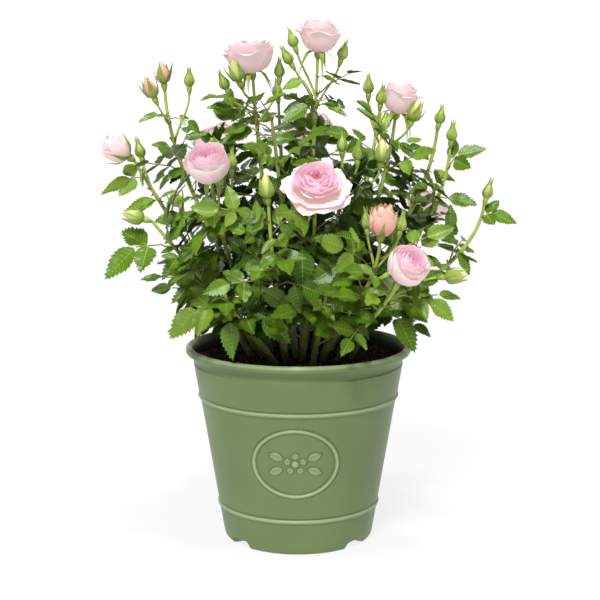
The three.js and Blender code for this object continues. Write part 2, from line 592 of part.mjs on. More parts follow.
// The faces of a leaflet that continues the rachis from its last ring.
function endBlade(ring, { left, right, keel, tip }) {
  const rim = [left, right, keel];
  return rim.flatMap((_, i) => {
    const j = (i + 1) % 3;
    return [[ring[i], ring[j], rim[j]], [ring[i], rim[j], rim[i]], [rim[i], rim[j], tip]];
  });
}

// The faces of a leaflet on the rachis's side, between two rings: top and low are that side's edges.
function sideLeaflet(topA, topB, lowA, lowB, { side, left, right, keel, tip }) {
  const [back, front] = side > 0 ? [right, left] : [left, right];
  const faces = [
    [topB, topA, back], [topB, back, front], [topA, lowA, keel], [topA, keel, back], [lowA, lowB, keel],
    [lowB, topB, front], [lowB, front, keel], [front, back, tip], [back, keel, tip], [keel, front, tip],
  ];
  return side > 0 ? faces : faces.map(([a, b, c]) => [a, c, b]);
}

// Whether a leaflet stays inside the crown's outline.
function inCrown({ tip }) {
  const above = CROWN.findIndex(([z]) => tip.z < z);
  if (above < 1) return false;
  const [low, high] = [CROWN[above - 1], CROWN[above]];
  const [radius, left, right] = [1, 2, 3].map((i) => mix(low[i], high[i], (tip.z - low[0]) / (high[0] - low[0])));
  return Math.hypot(tip.x, tip.y) < radius && tip.x > left && tip.x < right;
}

// ---------------------------------------------------------------- the whole plant

// Canes and the masses' stems, stalks and flowers come first, so that the leaves can keep clear of all of them.
function growStems() {
  return SHOOTS.map((shoot) => {
    const way = caneWay(shoot);
    const leafyFrom = shoot.bare + (GAP + 0.03) / way.getLength();
    const bareRun = stationsOf(way, 0, shoot.bare, CANE.bareSteps, caneRadius);
    const side = shoot.stalks.map((s) => stem(stalkWay(way, s), 0, STALK.steps, () => STALK.radius, s.flower));
    return {
      shoot,
      way,
      cane: limb(bareRun, CANE.sides, SOIL.top + GAP),
      mass: unite([stem(way, leafyFrom, CANE.leafySteps, caneRadius, shoot.flower), ...side]),
    };
  });
}

// A leaflet is kept where it touches neither the pot, the compost, a cane nor any mass, and a leaf is turned aside
// while that saves more than one of its leaflets. The masses take turns, so that each gets its share of the crown.
function growLeaves(plants, bodies) {
  const grow = (plant, attempts, planAt, fits, enough) => {
    const others = [...bodies, ...plants.filter((p) => p !== plant).map((p) => p.mass)];
    const isClear = (piece) => others.every((other) => piece.minGap(other, 1) >= GAP + 0.1);
    let best = { grown: [] };
    for (const attempt of attempts.keys()) {
      const plan = planAt(attempt);
      if (!isClear(leaf(plan, []))) continue;
      const grown = plan.leaflets.filter((leaflet) => {
        const alone = leafletAlone(leaflet);
        return fits(leaflet) && isClear(alone) && alone.minGap(plant.mass, 1) > GAP;
      });
      if (grown.length > best.grown.length) best = { plan, grown };
      if (best.plan && best.grown.length >= best.plan.leaflets.length - 1) break;
    }
    if (best.grown.length >= enough) plant.mass = plant.mass.add(leaf(best.plan, best.grown));
  };
  for (const plant of plants) {
    (PLACED[plant.shoot.name] ?? []).forEach((_, index) => {
      grow(plant, BOW.attempts, (attempt) => placedPlan(plant.shoot, plant.way, index, attempt), () => true, 1);
    });
  }
  const most = Math.max(...plants.map((p) => p.shoot.leaves));
  for (let index = 0; index < most; index++) {
    for (const plant of plants.filter((p) => index < p.shoot.leaves)) {
      grow(plant, LEAF.attempts, (attempt) => leafPlan(plant.shoot, plant.way, index, attempt), inCrown, 2);
    }
  }
}

const finishes = {
  pot: new THREE.MeshStandardMaterial({ color: 0x7d9369, roughness: 0.55, metalness: 0 }),
  compost: new THREE.MeshStandardMaterial({ color: 0x2b2019, roughness: 1, metalness: 0 }),
  cane: new THREE.MeshStandardMaterial({ color: 0x6f8f3c, roughness: 0.6, metalness: 0 }),
  foliage: new THREE.MeshStandardMaterial({ color: 0x4a7a2c, roughness: 0.5, metalness: 0 }),
};

const plant = new THREE.Group();
function add(name, made, finish) {
  const mesh = new THREE.Mesh(surface(cleaned(made)), finish);
  mesh.name = name;
  plant.add(mesh);
}

const potBody = pot();
const compostBody = compost();
const shoots = growStems();
growLeaves(shoots, [potBody, compostBody, ...shoots.map((s) => s.cane)]);

add("pot", potBody, finishes.pot);
add("compost", compostBody, finishes.compost);
for (const { shoot, cane, mass } of shoots) {
  add("cane_" + shoot.name, cane, finishes.cane);
  add("foliage_" + shoot.name, mass, finishes.foliage);
}

export default plant;
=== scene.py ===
# %% [markdown]
# # A patio rose in its pot
#
# This lesson dresses a plain solid model of a potted rose. The solids come packed as a frame: a pot, its compost, one
# bare cane for each shoot and one mass of foliage on top of each cane. We make finer meshes that stand in for them:
# a moulded pot, crumbly compost, canes with bark, serrated leaflets, buds and layered roses.
#
# The frame is loaded first.

# %% Load the frame
import math

import bmesh
import bpy
import numpy as np
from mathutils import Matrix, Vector, kdtree, noise


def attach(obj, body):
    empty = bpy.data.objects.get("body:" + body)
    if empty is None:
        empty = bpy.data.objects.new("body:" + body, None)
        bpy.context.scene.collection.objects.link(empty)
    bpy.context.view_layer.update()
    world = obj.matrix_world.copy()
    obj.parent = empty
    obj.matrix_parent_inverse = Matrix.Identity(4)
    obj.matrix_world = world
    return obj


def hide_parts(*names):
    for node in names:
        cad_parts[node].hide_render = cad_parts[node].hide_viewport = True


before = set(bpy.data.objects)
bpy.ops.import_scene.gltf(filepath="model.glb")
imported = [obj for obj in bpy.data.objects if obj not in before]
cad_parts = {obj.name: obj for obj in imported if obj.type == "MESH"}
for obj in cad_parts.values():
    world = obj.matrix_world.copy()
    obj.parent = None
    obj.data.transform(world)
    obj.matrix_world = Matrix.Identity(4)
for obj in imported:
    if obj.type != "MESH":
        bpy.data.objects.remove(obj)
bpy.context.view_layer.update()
MM = 0.001  # the plant's rule is written in millimetres, and Blender works in metres

# %% [markdown]
# ## The studio
#
# A pot plant is usually pictured a little from above with a long lens, which keeps the rim's ellipse shallow and the
# pot's sides straight. The floor is a wide pale sheet that glows faintly, so that shadows on it stay light. The world
# is a bright band round the horizon, which runs into the floor. Above the band its light comes from behind the plant.
# Two soft lamps, in front and above, give the light a direction, so that round things look round.

# %% Camera
EYE = Vector((1.7, -1380.6, 473.0)) * MM
AIM = Vector((1.7, 0.0, 240.5)) * MM

camera_data = bpy.data.cameras.new("camera")
camera_data.lens = 84
camera_data.sensor_width = 36
camera_data.clip_end = 50
camera = bpy.data.objects.new("camera", camera_data)
camera.location = EYE
camera.rotation_euler = (AIM - EYE).to_track_quat("-Z", "Y").to_euler()
bpy.context.collection.objects.link(camera)
bpy.context.scene.camera = camera
print("the camera looks down by", round(math.degrees(math.atan2(EYE.z - AIM.z, AIM.y - EYE.y)), 1), "degrees")

# %% Light
WORLD = {"horizon": 1.3, "zenith": 0.5, "low": 0.04, "high": 0.4}  # strengths, and the heights between them
FRONT_SHARE = 0.24  # of the world's light that comes from the sides and from the camera's side
BACKDROP = (0.65, 0.93)  # how far back a direction points where the world's light starts and ends to grow
SKYLINE = (0.06, 0.16)  # heights between which the bright band round the horizon ends
LAMPS = {  # where each lamp's light comes from, its strength and its softness in degrees
    "key": ((-0.22, -0.9, 0.95), 2.7, 16),
    "top": ((0.05, -0.22, 1.0), 2.3, 10),
}


def node(tree, kind, inputs=None, **settings):
    """A new node. Each input, by name or number, is a plain value or an output of another node."""
    made = tree.nodes.new(kind)
    for name, value in settings.items():
        setattr(made, name, value)
    for key, value in (inputs or {}).items():
        if isinstance(value, bpy.types.NodeSocket):
            tree.links.new(value, made.inputs[key])
        else:
            made.inputs[key].default_value = value
    return made


def ramp(tree, value, start, end, first=0, last=1):
    """Goes from first to last while the value goes from start to end."""
    limits = {"Value": value, "From Min": start, "From Max": end, "To Min": first, "To Max": last}
    return node(tree, "ShaderNodeMapRange", limits).outputs["Result"]


bpy.context.scene.view_settings.view_transform = "Standard"
world = bpy.data.worlds.new("studio")
bpy.context.scene.world = world
world.use_nodes = True
sky = world.node_tree
where = node(sky, "ShaderNodeTexCoord").outputs["Generated"]
direction = node(sky, "ShaderNodeSeparateXYZ", {"Vector": where}).outputs
fall = ramp(sky, direction["Z"], WORLD["low"], WORLD["high"], WORLD["horizon"], WORLD["zenith"])
behind = ramp(sky, direction["Y"], *BACKDROP, FRONT_SHARE, 1)
share = node(sky, "ShaderNodeMath", {0: behind, 1: ramp(sky, direction["Z"], *SKYLINE, 1, 0)}, operation="MAXIMUM")
light = node(sky, "ShaderNodeMath", {0: fall, 1: share.outputs[0]}, operation="MULTIPLY")
sky.nodes["Background"].inputs["Color"].default_value = (1, 1, 1, 1)
sky.links.new(light.outputs[0], sky.nodes["Background"].inputs["Strength"])

for name, (source, strength, softness) in LAMPS.items():
    lamp = bpy.data.lights.new(name, "SUN")
    lamp.energy, lamp.angle = strength, math.radians(softness)
    lamp_object = bpy.data.objects.new(name, lamp)
    lamp_object.rotation_euler = Vector(source).to_track_quat("Z", "Y").to_euler()
    bpy.context.collection.objects.link(lamp_object)
    print(name, "lamp stands", round(math.degrees(math.atan2(source[2], math.hypot(*source[:2])))), "degrees high")

# %% [markdown]
# ## Finishes
#
# Every finish starts from the same shader. A noise in the object's own coordinates mixes two near tones, because no
# leaf, petal or moulded wall has exactly one colour, and a finer one gives a little relief. What is the same all over
# a surface, such as its gloss, is set straight on the shader. A finish can be shifted towards another tone by a value
# that its mesh carries, such as the pot's painted highlight on its raised parts and painted shade at their foot.

# %% A finish from two tones and two noises
MOTTLING = (0.3, 0.7)  # the part of the coarse noise that runs from the one tone to the other
PORES = 0.6  # strength of the relief


def from_srgb(red, green, blue):
    """A colour given as 0 to 255, as the linear numbers that a shader wants."""
    shares = [c / 255 for c in (red, green, blue)]
    return [c / 12.92 if c <= 0.04045 else ((c + 0.055) / 1.055) ** 2.4 for c in shares] + [1.0]


def blend(tree, share, below, above):
    return node(tree, "ShaderNodeMix", {"Factor": share, "A": below, "B": above}, data_type="RGBA").outputs["Result"]


def finish(name, light, dark, patch, grain, relief, roughness, specular=0.5, glow=0.0):
    """A material: patch and grain are the sizes in millimetres of its mottling and of its relief."""
    material = bpy.data.materials.new(name)
    material.use_nodes = True
    tree = material.node_tree
    shader = tree.nodes["Principled BSDF"].inputs
    shader["Roughness"].default_value = roughness
    shader["Specular IOR Level"].default_value = specular
    shader["Emission Color"].default_value = from_srgb(*light)
    shader["Emission Strength"].default_value = glow
    where = node(tree, "ShaderNodeTexCoord").outputs["Object"]
    coarse = node(tree, "ShaderNodeTexNoise", {"Vector": where, "Scale": 1 / (patch * MM), "Detail": 4}).outputs["Fac"]
    fine = node(tree, "ShaderNodeTexNoise", {"Vector": where, "Scale": 1 / (grain * MM), "Detail": 3}).outputs["Fac"]
    bump = node(tree, "ShaderNodeBump", {"Strength": PORES, "Distance": relief * MM, "Height": fine})
    mottled = blend(tree, ramp(tree, coarse, *MOTTLING), from_srgb(*dark), from_srgb(*light))
    tree.links.new(mottled, shader["Base Color"])
    tree.links.new(bump.outputs["Normal"], shader["Normal"])
    return material


def shifted(material, value, start, end, tone):
    """The finish, nearer to a tone as the value goes from start to end."""
    tree = material.node_tree
    base = tree.nodes["Principled BSDF"].inputs["Base Color"]
    tree.links.new(blend(tree, ramp(tree, value, start, end), base.links[0].from_socket, from_srgb(*tone)), base)
    return material

# %% Floor
FLOOR_HALF = 12  # metres, so that its edge is never seen
corners = [(x * FLOOR_HALF, y * FLOOR_HALF, 0) for x, y in ((-1, -1), (1, -1), (1, 1), (-1, 1))]
floor_mesh = bpy.data.meshes.new("floor")
floor_mesh.from_pydata(corners, [], [(0, 1, 2, 3)])
floor = bpy.data.objects.new("floor", floor_mesh)
bpy.context.collection.objects.link(floor)
floor_mesh.materials.append(finish("floor_paper", (100, 100, 100), (98, 98, 98), 400, 2, 0.05, 0.9, 0.1, glow=6.6))
print("floor:", 2 * FLOOR_HALF, "m square")

# %% [markdown]
# ## Many small shapes in one mesh
#
# A rose bush has some thousands of leaflets, petals and sepals. As objects of their own they would be slow and hard
# to keep together, so each kind is gathered in arrays and becomes one mesh at the end. A heap keeps the points, the
# faces and each point's place on the shape's own little map.

# %% The heap
class Heap:
    """Gathers small shapes. Faces are rows of four corners, and a triangle's fourth corner is -1."""

    def __init__(self):
        self.points, self.faces, self.places, self.size = [], [], [], 0

    def add(self, points, faces, places=None):
        """points is a shape's (n, 3), in millimetres, and places is (n, 2) on its map."""
        faces = np.asarray(faces)
        self.points.append(np.asarray(points, float))
        self.faces.append(np.where(faces < 0, -1, faces + self.size))
        self.places.append(np.zeros((len(points), 2)) if places is None else places)
        self.size += len(points)


def placed(mesh, name):
    """Puts a finished mesh in the scene as an object at the origin."""
    piece = bpy.data.objects.new(name, mesh)
    bpy.context.collection.objects.link(piece)
    return piece


def triangles(piece):
    return sum(len(face.vertices) - 2 for face in piece.data.polygons)


def dressed(piece, slot, *nodes):
    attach(piece, "root")
    if nodes:
        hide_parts(*nodes)
    print(piece.name + ":", triangles(piece), "triangles")
    return piece


def piece_from(heap, name, material):
    """One smooth mesh from all that a heap holds."""
    faces = np.concatenate(heap.faces)
    present = faces >= 0
    corners, sizes = faces[present], present.sum(1)
    mesh = bpy.data.meshes.new(name)
    mesh.vertices.add(heap.size)
    mesh.vertices.foreach_set("co", (np.concatenate(heap.points) * MM).ravel())
    mesh.loops.add(len(corners))
    mesh.loops.foreach_set("vertex_index", corners)
    mesh.polygons.add(len(sizes))
    mesh.polygons.foreach_set("loop_start", np.concatenate([[0], np.cumsum(sizes)[:-1]]))
    mesh.polygons.foreach_set("use_smooth", np.ones(len(sizes), bool))
    mesh.uv_layers.new(name="place").data.foreach_set("uv", np.concatenate(heap.places)[corners].ravel())
    mesh.update(calc_edges=True)
    mesh.materials.append(material)
    return placed(mesh, name)

# %% [markdown]
# ## The pot
#
# The real pot is one injection moulding of matt plastic: a tapering wall, two thin beads, a recessed neck, a rolled
# rim, feet with drainage gaps, and a raised oval. It could be turned with a Screw modifier and the oval added with a
# Boolean. Here the wall is a grid of rows and columns that is closer where the oval lies, and a height function
# lifts the grid's points. So the raised parts run smoothly out of the wall, as they do from a mould.

# %% Sizes of the pot
POT = {"height": 196, "foot": 72, "base": 74.7, "slope": 0.165, "wall": 2.2, "floor": 9, "shoulder": 0.8}
BEADS = [{"z": 35, "half": 2.2, "proud": 1.5}, {"z": 145, "half": 2.4, "proud": 1.4}]
OVAL = {"z": 96.5, "half_width": 41.5, "half_height": 35.5, "band": 3.4, "relief": 1.8, "turn": -1.8}
ROSETTE = {"petals": 5, "heart": 3.6, "petal": (4.8, 11.5, 6.5), "leaf": (12.5, 27, 8),
           "leaves_at": (22, -22, 158, 202), "relief": 1.7, "groove": (0.7, 0.62)}
FEET = {"gaps_at": (50, 130, 230, 310), "angle": 18, "height": 6.5, "depth": 14, "blend": 8.5}
SOIL = {"top": 184, "at_wall": 182, "flat": 62, "clear": 0.3}


def slope_radius(z):
    return POT["base"] + POT["slope"] * z


def inner_radius(z):
    return slope_radius(z) - POT["wall"]

# %% The oval ring and the rosette inside it, as a height over the wall
def rounded(share):
    """The height of a half-round crown at a distance from its middle, both as shares."""
    return np.sqrt(np.clip(1 - share**2, 0, 1))


def ring_height(x, z):
    """A half-round band along an ellipse, x and z being measured from its centre."""
    half = OVAL["band"] / 2
    across, up = OVAL["half_width"] - half, OVAL["half_height"] - half
    level = np.sqrt((x / across) ** 2 + (z / up) ** 2) + 1e-9
    away = (level - 1) * level / np.sqrt((x / across**2) ** 2 + (z / up**2) ** 2 + 1e-12)
    return OVAL["relief"] * rounded(away / half)


def blade_height(x, z, start, reach, width, bearing):
    """A pointed petal or leaf that lies along a bearing, crowned, with a groove along its middle."""
    along = (x * math.cos(bearing) + z * math.sin(bearing) - start) / (reach - start)
    across = -x * math.sin(bearing) + z * math.cos(bearing)
    half = np.where((along > 0) & (along < 1), width * 2 * along * (1 - along), 0) + 1e-6
    depth, breadth = ROSETTE["groove"]
    groove = np.clip(1 - np.abs(across) / (breadth * half), 0, 1) ** 0.6
    return ROSETTE["relief"] * rounded(across / half) * (1 - depth * groove)


def rosette_height(x, z):
    heights = [ROSETTE["relief"] * rounded(np.sqrt(x**2 + z**2) / ROSETTE["heart"])]
    for petal in range(ROSETTE["petals"]):
        heights.append(blade_height(x, z, *ROSETTE["petal"], math.radians(90 + petal * 360 / ROSETTE["petals"])))
    for bearing in ROSETTE["leaves_at"]:
        heights.append(blade_height(x, z, *ROSETTE["leaf"], math.radians(bearing)))
    return np.max(heights, axis=0)

# %% The pot's outline, from the middle of the underside up the wall, over the rim and down inside
FINE = {"low": 58, "high": 133, "row": 0.7, "half_angle": 34, "column": 0.45}  # the grid is close here
COARSE = {"row": 4.0, "upper_row": 6.0, "column": 3.0}


def smooth_run(points, steps):
    """A soft curve through a few points of an outline."""
    p = np.array([points[0], *points, points[-1]], float)
    run = []
    for a, b, c, d in zip(p, p[1:], p[2:], p[3:]):
        for t in np.arange(steps) / steps:
            bend, twist = 2 * a - 5 * b + 4 * c - d, 3 * b - a - 3 * c + d
            run.append(0.5 * (2 * b + (c - a) * t + bend * t**2 + twist * t**3))
    return [*run, p[-1]]


def wall_rows():
    """Heights of the wall's rows: close over the beads and the oval, wide elsewhere."""
    rows = [*np.arange(8, 30, COARSE["row"]), *np.arange(40, 60, COARSE["row"])]
    rows += [*np.arange(60, 136, FINE["row"]), 138.0]
    for bead in BEADS:
        rows += list(bead["z"] + bead["half"] * np.sin(np.radians(np.linspace(-90, 90, 11))))
        rows += [bead["z"] + side * (bead["half"] + away) for side in (-1, 1) for away in (0.7, 1.4)]
    return sorted([*rows, *np.arange(150, 175, COARSE["upper_row"]), 177.6])


def wall_radius(z):
    radius = slope_radius(z) + (POT["shoulder"] if z > BEADS[1]["z"] else 0)
    for bead in BEADS:
        radius += bead["proud"] * max(0, 1 - ((z - bead["z"]) / bead["half"]) ** 2) ** 0.5
    return radius


underside = [(r, 0) for r in (0, 20, 40, 56, 57.5, 58.5, 66)]
foot_edge = smooth_run([(70.5, 0), (73, 0.6), (74.7, 2.6), (75.5, 5.5)], 4)
neck = smooth_run([(104.9, 178.6), (104.2, 179.6), (104.3, 183), (106.2, 186.9), (110, 188.6)], 5)
lip = smooth_run([(111.9, 189.3), (113, 191.6), (112.2, 194.5), (109.6, 196), (107.3, 195.2), (105.7, 192.2)], 6)
inside = [(104.4, 188), (102.8, 180), (101.2, 172), *[(inner_radius(z), z) for z in (150, 100, 50, 12)]]
inside += [(inner_radius(11) - 2, POT["floor"]), (40, POT["floor"]), (0, POT["floor"])]
outline = [*underside, *foot_edge, *[(wall_radius(z), z) for z in wall_rows()], *neck, *lip, *inside]
outline = np.array([tuple(point) for point in outline])
print("rows in the pot's outline:", len(outline))

# %% The pot's grid, and the relief on its front
FRONT = math.radians(-90 + OVAL["turn"])
edge_of_fine = FINE["half_angle"]
columns = [*np.arange(-edge_of_fine, edge_of_fine, FINE["column"])]
columns += [*np.arange(edge_of_fine, 360 - edge_of_fine, COARSE["column"])]  # degrees from the oval's middle
bearings = FRONT + np.radians(columns)
radius = outline[:, :1] + 0 * bearings
height = outline[:, 1:] + 0 * bearings
across, up = radius * np.sin(bearings - FRONT), height - OVAL["z"]
on_front = (np.cos(bearings - FRONT) > 0) & (height > FINE["low"]) & (height < FINE["high"])
on_front &= radius > slope_radius(height) - 0.5
relief = np.where(on_front, np.maximum(ring_height(across, up), rosette_height(across, up)), 0)
radius = radius + relief

# %% Painted light on the pot: painted highlight 1 on raised parts, bead tops and the lip, painted shade a little below 0 at their foot and -1 inside
PAINTED_LIGHT = {"foot": -0.45, "lip": (192.3, 2.5), "lip_from": 190.5, "inside": (104, 178)}
highlight_share = relief / OVAL["relief"]
# on the beads only the upper side gets the painted highlight, as if lit from above
for bead in BEADS:
    on_bead = (np.abs(height - bead["z"]) < bead["half"] + 0.1) & (radius > slope_radius(height) - 0.1)
    highlight_share = np.where(on_bead, np.clip((height - bead["z"]) / bead["half"] + 0.55, 0, 1), highlight_share)
# painted shade along the foot of the raised parts, where their shadow falls
near_highlight = np.max([np.roll(highlight_share, (down, aside), (0, 1)) for down in (-1, 0, 1, 2) for aside in (-2, 0, 2)], axis=0)
painted_light = np.where(highlight_share > 0.05, highlight_share, PAINTED_LIGHT["foot"] * near_highlight)
lip_start, lip_depth = PAINTED_LIGHT["lip"]
painted_light = np.where(height > PAINTED_LIGHT["lip_from"], np.clip((height - lip_start) / lip_depth, 0, 1), painted_light)
last_rows = (np.arange(len(outline)) > len(outline) - len(inside) - 1)[:, None]
painted_light = np.where(last_rows | (radius < PAINTED_LIGHT["inside"][0]) & (height > PAINTED_LIGHT["inside"][1]), -1, painted_light)

# %% The gaps between the feet, and the pot's mesh
from_front = (np.degrees(bearings) + 90) % 360
aside = np.min([np.abs((from_front - gap + 180) % 360 - 180) for gap in FEET["gaps_at"]], axis=0)
lifted = FEET["height"] * np.clip((FEET["angle"] / 2 + 1.0 - aside) / 1.6, 0, 1)
near_edge = (outline[:, :1] > POT["foot"] - FEET["depth"] - 0.2) & (outline[:, 1:] < FEET["blend"]) & (radius > 50)
height = np.where(near_edge, lifted + height * (1 - lifted / FEET["blend"]), height)


def rings_of_faces(rings, count):
    """Faces between neighbouring closed rings of count points each."""
    pairs = [(r * count, (r + 1) * count) for r in range(rings - 1)]
    return [(a + c, a + (c + 1) % count, b + (c + 1) % count, b + c) for a, b in pairs for c in range(count)]


def tidied(mesh):
    """Merges doubles, turns all faces outwards and shades them smooth."""
    work = bmesh.new()
    work.from_mesh(mesh)
    bmesh.ops.remove_doubles(work, verts=work.verts, dist=1e-6)
    bmesh.ops.dissolve_degenerate(work, edges=work.edges, dist=1e-7)
    bmesh.ops.recalc_face_normals(work, faces=work.faces)
    for face in work.faces:
        face.smooth = True
    work.to_mesh(mesh)
    work.free()
    return mesh


pot_mesh = bpy.data.meshes.new("moulded_pot")
points = np.stack([radius * np.cos(bearings), radius * np.sin(bearings), height], axis=-1).reshape(-1, 3) * MM
pot_mesh.from_pydata(points.tolist(), [], rings_of_faces(len(outline), len(bearings)))
pot_mesh.attributes.new("painted_light", "FLOAT", "POINT").data.foreach_set("value", painted_light.ravel())

plastic = finish("sage_plastic", (110, 129, 84), (103, 122, 77), 60, 0.6, 0.04, 0.4, 0.25)
# the pot's painted light: raised parts and the lip shift to a lighter tone as painted highlight, their foot and the
# inside wall to a dark tone as painted shade
painted_light_value = node(plastic.node_tree, "ShaderNodeAttribute", attribute_name="painted_light").outputs["Fac"]
shifted(plastic, painted_light_value, 0, 1, (150, 170, 126))
shifted(plastic, painted_light_value, 0, -1, (30, 40, 18))
pot = placed(tidied(pot_mesh), "moulded_pot")
pot_mesh.materials.append(plastic)
dressed(pot, "pot", "pot")

# %% [markdown]
# ## Compost
#
# Potting compost is dark peat with crumbs, bark bits and pale fibres. A disc with a noise for its lumps gives the
# ground. The crumbs and fibres are scattered by Geometry Nodes: points are dealt over the faces near the top, clear of
# the wall, a small shape is set on each with a random turn and size, and the copies are made real, so that the result
# is one plain mesh.

# %% The compost's lumpy top
SOIL_RINGS, SOIL_SPOKES = 44, 120
LUMPS = {"size": 16, "height": 2.4, "layer": 3, "octaves": 5}
CRUMBS = {"size": 3.2, "height": 0.9, "layer": 7}


def ground_level(x, y, from_wall):
    """The compost's height, sloping and lumpy, and even where it meets the wall."""
    slope = (SOIL["top"] - SOIL["at_wall"]) * min(1, from_wall / (soil_edge - SOIL["flat"]))
    place = Vector((x / LUMPS["size"], y / LUMPS["size"], LUMPS["layer"]))
    lumps = noise.fractal(place, 1.0, 2.0, LUMPS["octaves"]) * LUMPS["height"]
    crumbs = noise.noise(Vector((x / CRUMBS["size"], y / CRUMBS["size"], CRUMBS["layer"]))) * CRUMBS["height"]
    return SOIL["at_wall"] + slope + (lumps + crumbs) * min(1, from_wall / 6)


soil_edge = inner_radius(SOIL["at_wall"]) - SOIL["clear"]
soil_outline = [(inner_radius(9) - 2.6, 9.3), (inner_radius(11) - 0.3, 11.5)]
soil_outline += [(inner_radius(z) - SOIL["clear"], z) for z in (60, 120, SOIL["at_wall"] - 1.5)]
soil_outline += [(soil_edge * (1 - ring / SOIL_RINGS), None) for ring in range(SOIL_RINGS)]
soil_points, soil_faces = [(0, 0, POT["floor"] + SOIL["clear"]), (0, 0, SOIL["top"])], []
for ring_radius, level in soil_outline:
    for spoke in range(SOIL_SPOKES):
        turn = 2 * math.pi * spoke / SOIL_SPOKES
        x, y = ring_radius * math.cos(turn), ring_radius * math.sin(turn)
        soil_points.append((x, y, ground_level(x, y, soil_edge - ring_radius) if level is None else level))
for ring in range(len(soil_outline)):
    for spoke in range(SOIL_SPOKES):
        a, b = (2 + ring * SOIL_SPOKES + s % SOIL_SPOKES for s in (spoke, spoke + 1))
        if ring == 0:
            soil_faces.append((0, b, a))
        is_last = ring == len(soil_outline) - 1
        soil_faces.append((a, b, 1) if is_last else (a, b, b + SOIL_SPOKES, a + SOIL_SPOKES))
soil_mesh = bpy.data.meshes.new("compost_ground")
soil_mesh.from_pydata([tuple(c * MM for c in p) for p in soil_points], [], soil_faces)
soil_mesh.materials.append(finish("peat", (66, 50, 34), (26, 19, 12), 5, 1.2, 1.2, 0.95, 0.2))
ground = dressed(placed(tidied(soil_mesh), "compost_ground"), "compost", "compost")

# %% Geometry Nodes: a tree with named inputs
def node_tree(name, inputs):
    """An empty tree with a geometry in and out, and named inputs of (type, value)."""
    tree = bpy.data.node_groups.new(name, "GeometryNodeTree")
    tree.interface.new_socket("Geometry", in_out="INPUT", socket_type="NodeSocketGeometry")
    tree.interface.new_socket("Geometry", in_out="OUTPUT", socket_type="NodeSocketGeometry")
    for label, (kind, value) in inputs.items():
        tree.interface.new_socket(label, in_out="INPUT", socket_type="NodeSocket" + kind).default_value = value
    return tree, tree.nodes.new("NodeGroupInput").outputs


def ended(tree, geometry, material):
    """Ends a tree: copies are made real and take the material."""
    real = node(tree, "GeometryNodeRealizeInstances", {"Geometry": geometry}).outputs[0]
    paint = node(tree, "GeometryNodeSetMaterial", {"Geometry": real, "Material": material}).outputs[0]
    node(tree, "NodeGroupOutput", {0: paint})
    return tree


def grown(name, start, tree, values):
    """Runs a tree on an object and keeps the result as a plain mesh."""
    modifier = start.modifiers.new(tree.name, "NODES")
    modifier.node_group = tree
    sockets = {item.name: item.identifier for item in tree.interface.items_tree if item.in_out == "INPUT"}
    for label, value in values.items():
        modifier[sockets[label]] = value
    shown = bpy.context.evaluated_depsgraph_get()
    mesh = bpy.data.meshes.new_from_object(start.evaluated_get(shown), depsgraph=shown)
    start.modifiers.remove(modifier)
    mesh.name = name
    return placed(mesh, name)

# %% Scatter a small shape over the compost's top
def scatter_tree(material):
    tree, given = node_tree("scatter", {
        "Shape": ("Object", None), "Density": ("Float", 1e5), "Smallest": ("Float", 0.5), "Largest": ("Float", 1.5),
        "Seed": ("Int", 1), "Reach": ("Float", 0.1),
    })
    here = node(tree, "GeometryNodeInputPosition").outputs[0]
    away = node(tree, "ShaderNodeVectorMath", {0: here, 1: (0, 0, SOIL["top"] * MM)}, operation="DISTANCE")
    near = node(tree, "FunctionNodeCompare", {"A": away.outputs["Value"], "B": given["Reach"]}, operation="LESS_THAN")
    deal = node(tree, "GeometryNodeDistributePointsOnFaces", {
        "Mesh": given["Geometry"], "Selection": near.outputs[0], "Density": given["Density"], "Seed": given["Seed"]})
    turn = node(tree, "FunctionNodeRandomValue", {1: (math.tau,) * 3}, data_type="FLOAT_VECTOR").outputs[0]
    sizes = {2: given["Smallest"], 3: given["Largest"], "Seed": given["Seed"]}
    size = node(tree, "FunctionNodeRandomValue", sizes, data_type="FLOAT").outputs[1]
    shape = node(tree, "GeometryNodeObjectInfo", {"Object": given["Shape"]}).outputs["Geometry"]
    place = node(tree, "GeometryNodeInstanceOnPoints", {
        "Points": deal.outputs["Points"], "Instance": shape, "Rotation": turn, "Scale": size})
    return ended(tree, place.outputs["Instances"], material)


def scattered(name, shape_mesh, material, density, smallest, largest, clear, seed):
    """The shape dealt over the compost, clear of its edge, as one piece. Density is per square metre."""
    shape = bpy.data.objects.new("shape", shape_mesh)
    values = {"Shape": shape, "Density": density, "Smallest": smallest, "Largest": largest, "Seed": seed,
              "Reach": (soil_edge - clear) * MM}
    piece = grown(name, ground, scatter_tree(material), values)
    bpy.data.objects.remove(shape)
    return dressed(piece, "compost")


def crumb_shape():
    """A lump of twenty faces with its corners pushed in and out."""
    work = bmesh.new()
    bmesh.ops.create_icosphere(work, subdivisions=1, radius=1.0 * MM)
    for i, vert in enumerate(work.verts):
        vert.co *= 0.75 + 0.5 * abs(math.sin(7.3 * i + 1))
        vert.co.z *= 0.7
    mesh = bpy.data.meshes.new("crumb")
    work.to_mesh(mesh)
    work.free()
    return mesh


def fibre_shape():
    """A bent splinter, three-sided and closed."""
    bend = [(-5, 0, 0.1), (-2, 0.8, 0.5), (2, 0.3, 0.2), (5.5, -1.2, 0.6)]
    points = [(x, y + 0.24 * math.cos(a), z + 0.24 * math.sin(a)) for x, y, z in bend for a in (0, 2.1, 4.2)]
    faces = [(0, 2, 1), (9, 10, 11), *rings_of_faces(4, 3)]
    mesh = bpy.data.meshes.new("fibre")
    mesh.from_pydata([tuple(c * MM for c in p) for p in points], [], faces)
    return tidied(mesh)


bark = finish("bark_crumbs", (116, 88, 62), (38, 28, 18), 9, 1.0, 0.6, 0.9, 0.2)
straw = finish("pale_fibres", (176, 146, 104), (98, 76, 50), 12, 1.0, 0.3, 0.85, 0.2)
scattered("compost_crumbs", crumb_shape(), bark, 90000, 0.5, 2.0, 2.4, 3)
scattered("compost_fibres", fibre_shape(), straw, 12000, 0.4, 1.1, 7, 5)

